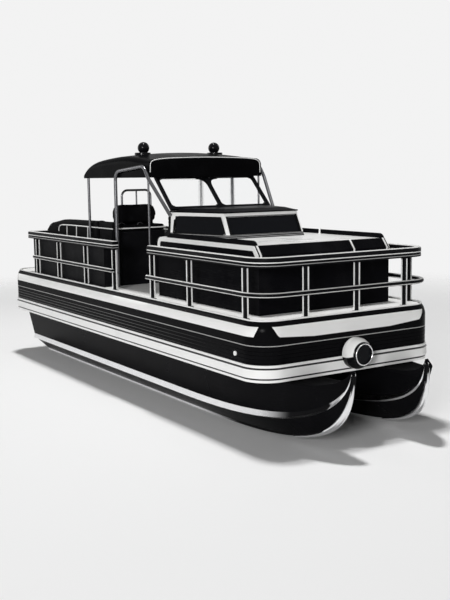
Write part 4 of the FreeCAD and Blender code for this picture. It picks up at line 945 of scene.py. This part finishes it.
class OBJECT_OT_boat_screen_corners(bpy.types.Operator):
    """Round the corners of the windscreen's openings with webs in the colour of its frame"""
    bl_idname = "object.boat_screen_corners"
    bl_label = "Windscreen corners"

    def execute(self, context):
        bm, half_web, wide, tight = bmesh.new(), 0.008, 0.14, 0.035
        for pane in solids_of("windscreen_glass"):
            spots = [vertex.co.copy() for vertex in pane.vertices]
            outboard = math.copysign(1, sum(point.y for point in spots))
            found = {(end, side): max(spots, key=lambda point: side * point.y + (end * 2 - 1) * point.z)
                     for end in (0, 1) for side in (-1, 1)}
            rise = found[1, 1] - found[0, 1]
            normal = PORT.cross(Vector((rise.x, 0, rise.z))).normalized()
            for (end, side), corner in found.items():
                radius = wide if end and side != outboard else tight
                level_way = (found[end, -side] - corner).normalized()
                post_way = (found[1 - end, side] - corner).normalized()
                arc = [corner + level_way * radius * (1 - share) ** 2 + post_way * radius * share ** 2
                       for share in [step / 10 for step in range(11)]]
                verts = [bm.verts.new(point - normal * half_web) for point in [corner, *arc]]
                thicken(bm, [bm.faces.new(verts)], normal * half_web * 2)
        new_piece("screen_corners", bm, "Screen frame", "top_gloss", smooth=30)
        return {"FINISHED"}


class OBJECT_OT_boat_gaskets(bpy.types.Operator):
    """Lay a black gasket round each window of the trunk, wide at its ends"""
    bl_idname = "object.boat_gaskets"
    bl_label = "Window gaskets"

    def execute(self, context):
        bm, wide, lap = bmesh.new(), 0.026, 0.004
        walls = corners("trunk_walls")
        inside = (walls[0] + walls[1]) / 2
        ways = ((-1, -1), (1, -1), (1, 1), (-1, 1))
        for pane in solids_of("trunk_glass"):
            low, high = bounds(pane)
            normal = max(pane.polygons, key=lambda part: part.area).normal.copy()
            if normal.dot((low + high) / 2 - inside) < 0:
                normal.negate()
            flat = UP.cross(normal).normalized()
            rise = normal.cross(flat)
            rings = [[], []]
            for side, end in ways:
                corner = max([vertex.co for vertex in pane.vertices],
                             key=lambda point: (flat * side + rise * end).dot(point)).copy()
                rings[0].append(corner - flat * side * lap - rise * end * lap)
                rings[1].append(corner + flat * side * wide + rise * end * lap)
            wall = surface("trunk_walls", (rings[1][0] + rings[1][3]) / 2 + normal * 0.2, -normal)[0]
            inner, outer = [[bm.verts.new(spot + normal * ((wall - spot).dot(normal) - SUNK))
                             for spot in ring] for ring in rings]
            faces = [bm.faces.new((inner[at], outer[at], outer[(at + 1) % 4], inner[(at + 1) % 4]))
                     for at in range(4)]
            thicken(bm, faces, normal * 0.006)
        new_piece("window_gaskets", bm, "Gasket", "rub_rubber", smooth=30)
        return {"FINISHED"}


class OBJECT_OT_boat_lamps(bpy.types.Operator):
    """Set the bow lamp's bezel and the flat plates under the roof lamps"""
    bl_idname = "object.boat_lamps"
    bl_label = "Lamps"

    def execute(self, context):
        low, high = corners("bow_lamp_housing")
        centre = Vector((high.x, 0.0, (low.z + high.z) / 2))
        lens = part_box("bow_lamp_lens")[1][1]
        start = Matrix.Translation(centre + Vector((0.001, 0, lens + 0.006)))
        bm = bmesh.new()
        ring = bmesh.ops.create_circle(bm, segments=10, radius=0.008,
                                       matrix=start @ Matrix.Rotation(math.pi / 2, 4, "X"))
        bmesh.ops.spin(bm, geom=ring["verts"] + list(bm.edges), cent=centre, axis=(1, 0, 0), angle=math.tau,
                       steps=64, use_merge=True, use_duplicate=False)
        bmesh.ops.remove_doubles(bm, verts=bm.verts, dist=MERGE)
        new_piece("bow_lamp_bezel", bm, *BRIGHT)

        plates, radius, sunk, thick = bmesh.new(), 0.112, 0.012, 0.032
        for beacon in solids_of("roof_lamps"):
            low, high = bounds(beacon)
            foot = surface("roof_lamps", (low.x + 0.012, (low.y + high.y) / 2, high.z + 0.1), -UP)[0]
            add_disc(plates, ((low.x + high.x) / 2, foot.y, foot.z - sunk), UP, radius, thick, 48, 0.006)
        new_piece("lamp_plates", plates, "Lamp housing", "lamp_body")
        return {"FINISHED"}


class OBJECT_OT_boat_fittings(bpy.types.Operator):
    """Set the dash's gauges and throttle, the wheel's hub, the latches and the motor's seam"""
    bl_idname = "object.boat_fittings"
    bl_label = "Small fittings"

    def execute(self, context):
        low, high = corners("dash_console")
        middle, ahead = (low.y + high.y) / 2, (1, 0, 0)
        bezels, faces = bmesh.new(), bmesh.new()
        for shift, radius in ((-0.21, 0.032), (-0.075, 0.045), (0.075, 0.045), (0.21, 0.032)):
            place, normal = surface("dash_console", (low.x - 0.5, middle + shift, high.z - 0.06), ahead)
            add_disc(bezels, place - normal * SUNK, normal, radius, 0.012, 40, 0.003)
            add_disc(faces, place + normal * 0.007, normal, radius * 0.82, 0.002, 40, 0.0005)
        new_piece("gauge_bezels", bezels, *BRIGHT)
        new_piece("gauge_faces", faces, "Dark glass", "dark_glass")

        place, normal = surface("dash_console", (low.x - 0.5, high.y - 0.075, low.z + 0.22), ahead)
        bm = bmesh.new()
        add_disc(bm, place - normal * SUNK, normal, 0.036, 0.024, 32, 0.005)
        add_disc(bm, place + Vector((-0.075, -0.028, 0.125)), PORT, 0.014, 0.056, 24, 0.005)
        bends = ((0, 0, 0), (-0.055, 0, 0.01), (-0.075, 0, 0.06), (-0.075, 0, 0.125))
        arm = tube([place + Vector(bend) for bend in bends], 0.009)
        new_piece("throttle", join([arm, to_mesh(bm)]), "Dash", "dash_plastic")

        rim = [vertex.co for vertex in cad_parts["steering_wheel"].data.vertices]
        top, foot = max(rim, key=lambda point: point.z), min(rim, key=lambda point: point.z)
        axis = (top - foot).cross(PORT).normalized()
        axis = -axis if axis.x > 0 else axis
        place = surface("steering_wheel", (top + foot) / 2 + axis * 0.3, -axis)[0]
        bm = bmesh.new()
        add_disc(bm, place - axis * SUNK, axis, 0.040, 0.014, 40, 0.005)
        new_piece("wheel_hub_cap", bm, *BRIGHT, "steering_wheel")

        low, high = corners("cabin_door")
        place, normal = surface("cabin_door", (low.x - 0.3, low.y + 0.07, (low.z + high.z) / 2), ahead)
        bm = bmesh.new()
        add_disc(bm, place - normal * 0.003, normal, 0.026, 0.010, 32, 0.003)
        add_disc(bm, place, normal, 0.010, 0.038, 20)
        add_box(bm, place + Vector((-0.044, -0.012, -0.075)), place + Vector((-0.032, 0.012, 0.015)), 0.005)
        new_piece("door_latch", bm, *BRIGHT, "cabin_door")

        low, high = corners("stern_gate")
        place = surface("stern_gate", ((low.x + high.x) / 2, low.y + 0.05, high.z + 0.2), -UP)[0]
        bm = bmesh.new()
        add_box(bm, place + Vector((-0.026, -0.030, -0.050)), place + Vector((0.026, 0.030, 0.006)), 0.006)
        add_disc(bm, place + UP * 0.004, UP, 0.012, 0.016, 24, 0.004)
        new_piece("gate_latch", bm, *BRIGHT, "stern_gate")

        seam = ring_round("motor_cowl", Vector((math.sin(MOTOR_TILT), 0, math.cos(MOTOR_TILT))), 0.30)
        new_piece("cowl_seam", tube(seam, 0.005, closed=True, kind="POLY"), *BRIGHT, "motor")
        return {"FINISHED"}


class OBJECT_OT_boat_stage(bpy.types.Operator):
    """Place the floor, the lamps, the world and the camera"""
    bl_idname = "object.boat_stage"
    bl_label = "Stage"

    def execute(self, context):
        scene = context.scene
        scene.view_settings.view_transform = "Standard"
        add_world(scene)
        add_floor()
        hull = (0.0, 0.0, 1.2)
        add_lamp("Top", (-0.6, 0.0, 24.0), (0.0, 0.0, 0.0), 4250, 2.6)
        add_lamp("Key", (25.0, -27.0, 9.5), hull, 8000, 9.0)
        add_lamp("Fill", (-15.0, -10.0, 6.0), hull, 300, 8.0)
        add_lamp("Back", (-6.0, 16.0, 8.0), hull, 200, 8.0)
        place_camera(scene)
        return {"FINISHED"}


def add_lamp(name, place, target, power, width):
    data = bpy.data.lights.new(name, "AREA")
    data.energy = power
    data.shape = "DISK"
    data.size = width
    light = add_object(name, data)
    way = Vector(target) - Vector(place)
    light.matrix_world = Matrix.Translation(place) @ way.to_track_quat("-Z", "Y").to_matrix().to_4x4()


def place_camera(scene):
    """The camera of the photograph: its place, its turn and its slight roll."""
    azimuth, rise, roll = math.radians(57.6215), math.radians(7.7268), math.radians(-0.8472)
    eye = (along(15.3449), -6.6804, 2.988)
    back = Vector((math.sin(azimuth) * math.cos(rise), -math.cos(azimuth) * math.cos(rise), math.sin(rise)))
    right = Vector((math.cos(azimuth), math.sin(azimuth), 0.0))
    above = back.cross(right)
    right, above = (right * math.cos(roll) + above * math.sin(roll),
                    above * math.cos(roll) - right * math.sin(roll))
    data = bpy.data.cameras.new("Camera")
    data.sensor_width = 36.0
    data.lens = 55.555
    data.clip_end = 200.0
    camera = add_object("Camera", data)
    camera.matrix_world = Matrix.Translation(eye) @ Matrix((right, above, back)).transposed().to_4x4()
    scene.camera = camera


def add_world(scene):
    """A dim even light, seen as a pale background by the camera and through glass."""
    world = bpy.data.worlds.new("Studio")
    world.use_nodes = True
    scene.world = world
    net = Net(world.node_tree)
    path = net.add("ShaderNodeLightPath").outputs
    seen = net.most(path["Is Camera Ray"], path["Is Transmission Ray"])
    value = net.most(seen, net.times(path["Is Glossy Ray"], 0.5))
    light = net.add("ShaderNodeBackground", {"Color": (1, 1, 1, 1), "Strength": 0.08})
    plain = net.add("ShaderNodeBackground", {"Color": (0.895, 0.895, 0.895, 1), "Strength": 1.0})
    both = net.add("ShaderNodeMixShader", {0: value, 1: light.outputs[0], 2: plain.outputs[0]})
    net.add("ShaderNodeOutputWorld", {0: both.outputs[0]})


def add_floor():
    """A pale floor that fades into the equally pale world."""
    radius, fade_start, fade_end = 60.0, 8.0, 16.0
    bm = bmesh.new()
    bmesh.ops.create_circle(bm, cap_ends=True, segments=96, radius=radius)
    mesh = to_mesh(bm, outwards=False)
    floor = add_object("floor", mesh)
    made, net = new_material("Pale floor")
    far = net.step(net.length(*net.split()[:2]), fade_start, fade_end)
    matt = net.add("ShaderNodeBsdfDiffuse", {"Color": (0.88, 0.88, 0.88, 1)})
    clear = net.add("ShaderNodeBsdfTransparent")
    fade = net.add("ShaderNodeMixShader", {0: far, 1: matt.outputs[0], 2: clear.outputs[0]})
    net.add("ShaderNodeOutputMaterial", {0: fade.outputs[0]})
    mesh.materials.append(made)


class VIEW3D_PT_boat(bpy.types.Panel):
    """Lists the boat's settings and the buttons of its operators"""
    bl_label = "Pontoon boat"
    bl_idname = "VIEW3D_PT_boat"
    bl_space_type = "VIEW_3D"
    bl_region_type = "UI"
    bl_category = "Boat"

    def draw(self, context):
        for group in (context.scene.boat_paint, context.scene.boat_seams):
            for name in group.__annotations__:
                self.layout.prop(group, name)
        for operator in OPERATORS:
            self.layout.operator(operator.bl_idname)


OPERATORS = (OBJECT_OT_boat_finishes, OBJECT_OT_boat_lounge, OBJECT_OT_boat_helm_seat,
             OBJECT_OT_boat_seat_loops, OBJECT_OT_boat_rail_trim, OBJECT_OT_boat_bow_guards,
             OBJECT_OT_boat_cabin_trim, OBJECT_OT_boat_roof_trim, OBJECT_OT_boat_screen_corners,
             OBJECT_OT_boat_gaskets, OBJECT_OT_boat_lamps, OBJECT_OT_boat_fittings, OBJECT_OT_boat_stage)
CLASSES = (BoatPaint, BoatSeams, *OPERATORS, VIEW3D_PT_boat)


def register():
    for kind in CLASSES:
        bpy.utils.register_class(kind)
    bpy.types.Scene.boat_paint = bpy.props.PointerProperty(type=BoatPaint)
    bpy.types.Scene.boat_seams = bpy.props.PointerProperty(type=BoatSeams)


def unregister():
    del bpy.types.Scene.boat_seams
    del bpy.types.Scene.boat_paint
    for kind in reversed(CLASSES):
        bpy.utils.unregister_class(kind)


def main():
    register()
    for operator in OPERATORS:
        group, name = operator.bl_idname.split(".")
        getattr(getattr(bpy.ops, group), name)()


if __name__ == "__main__":
    main()
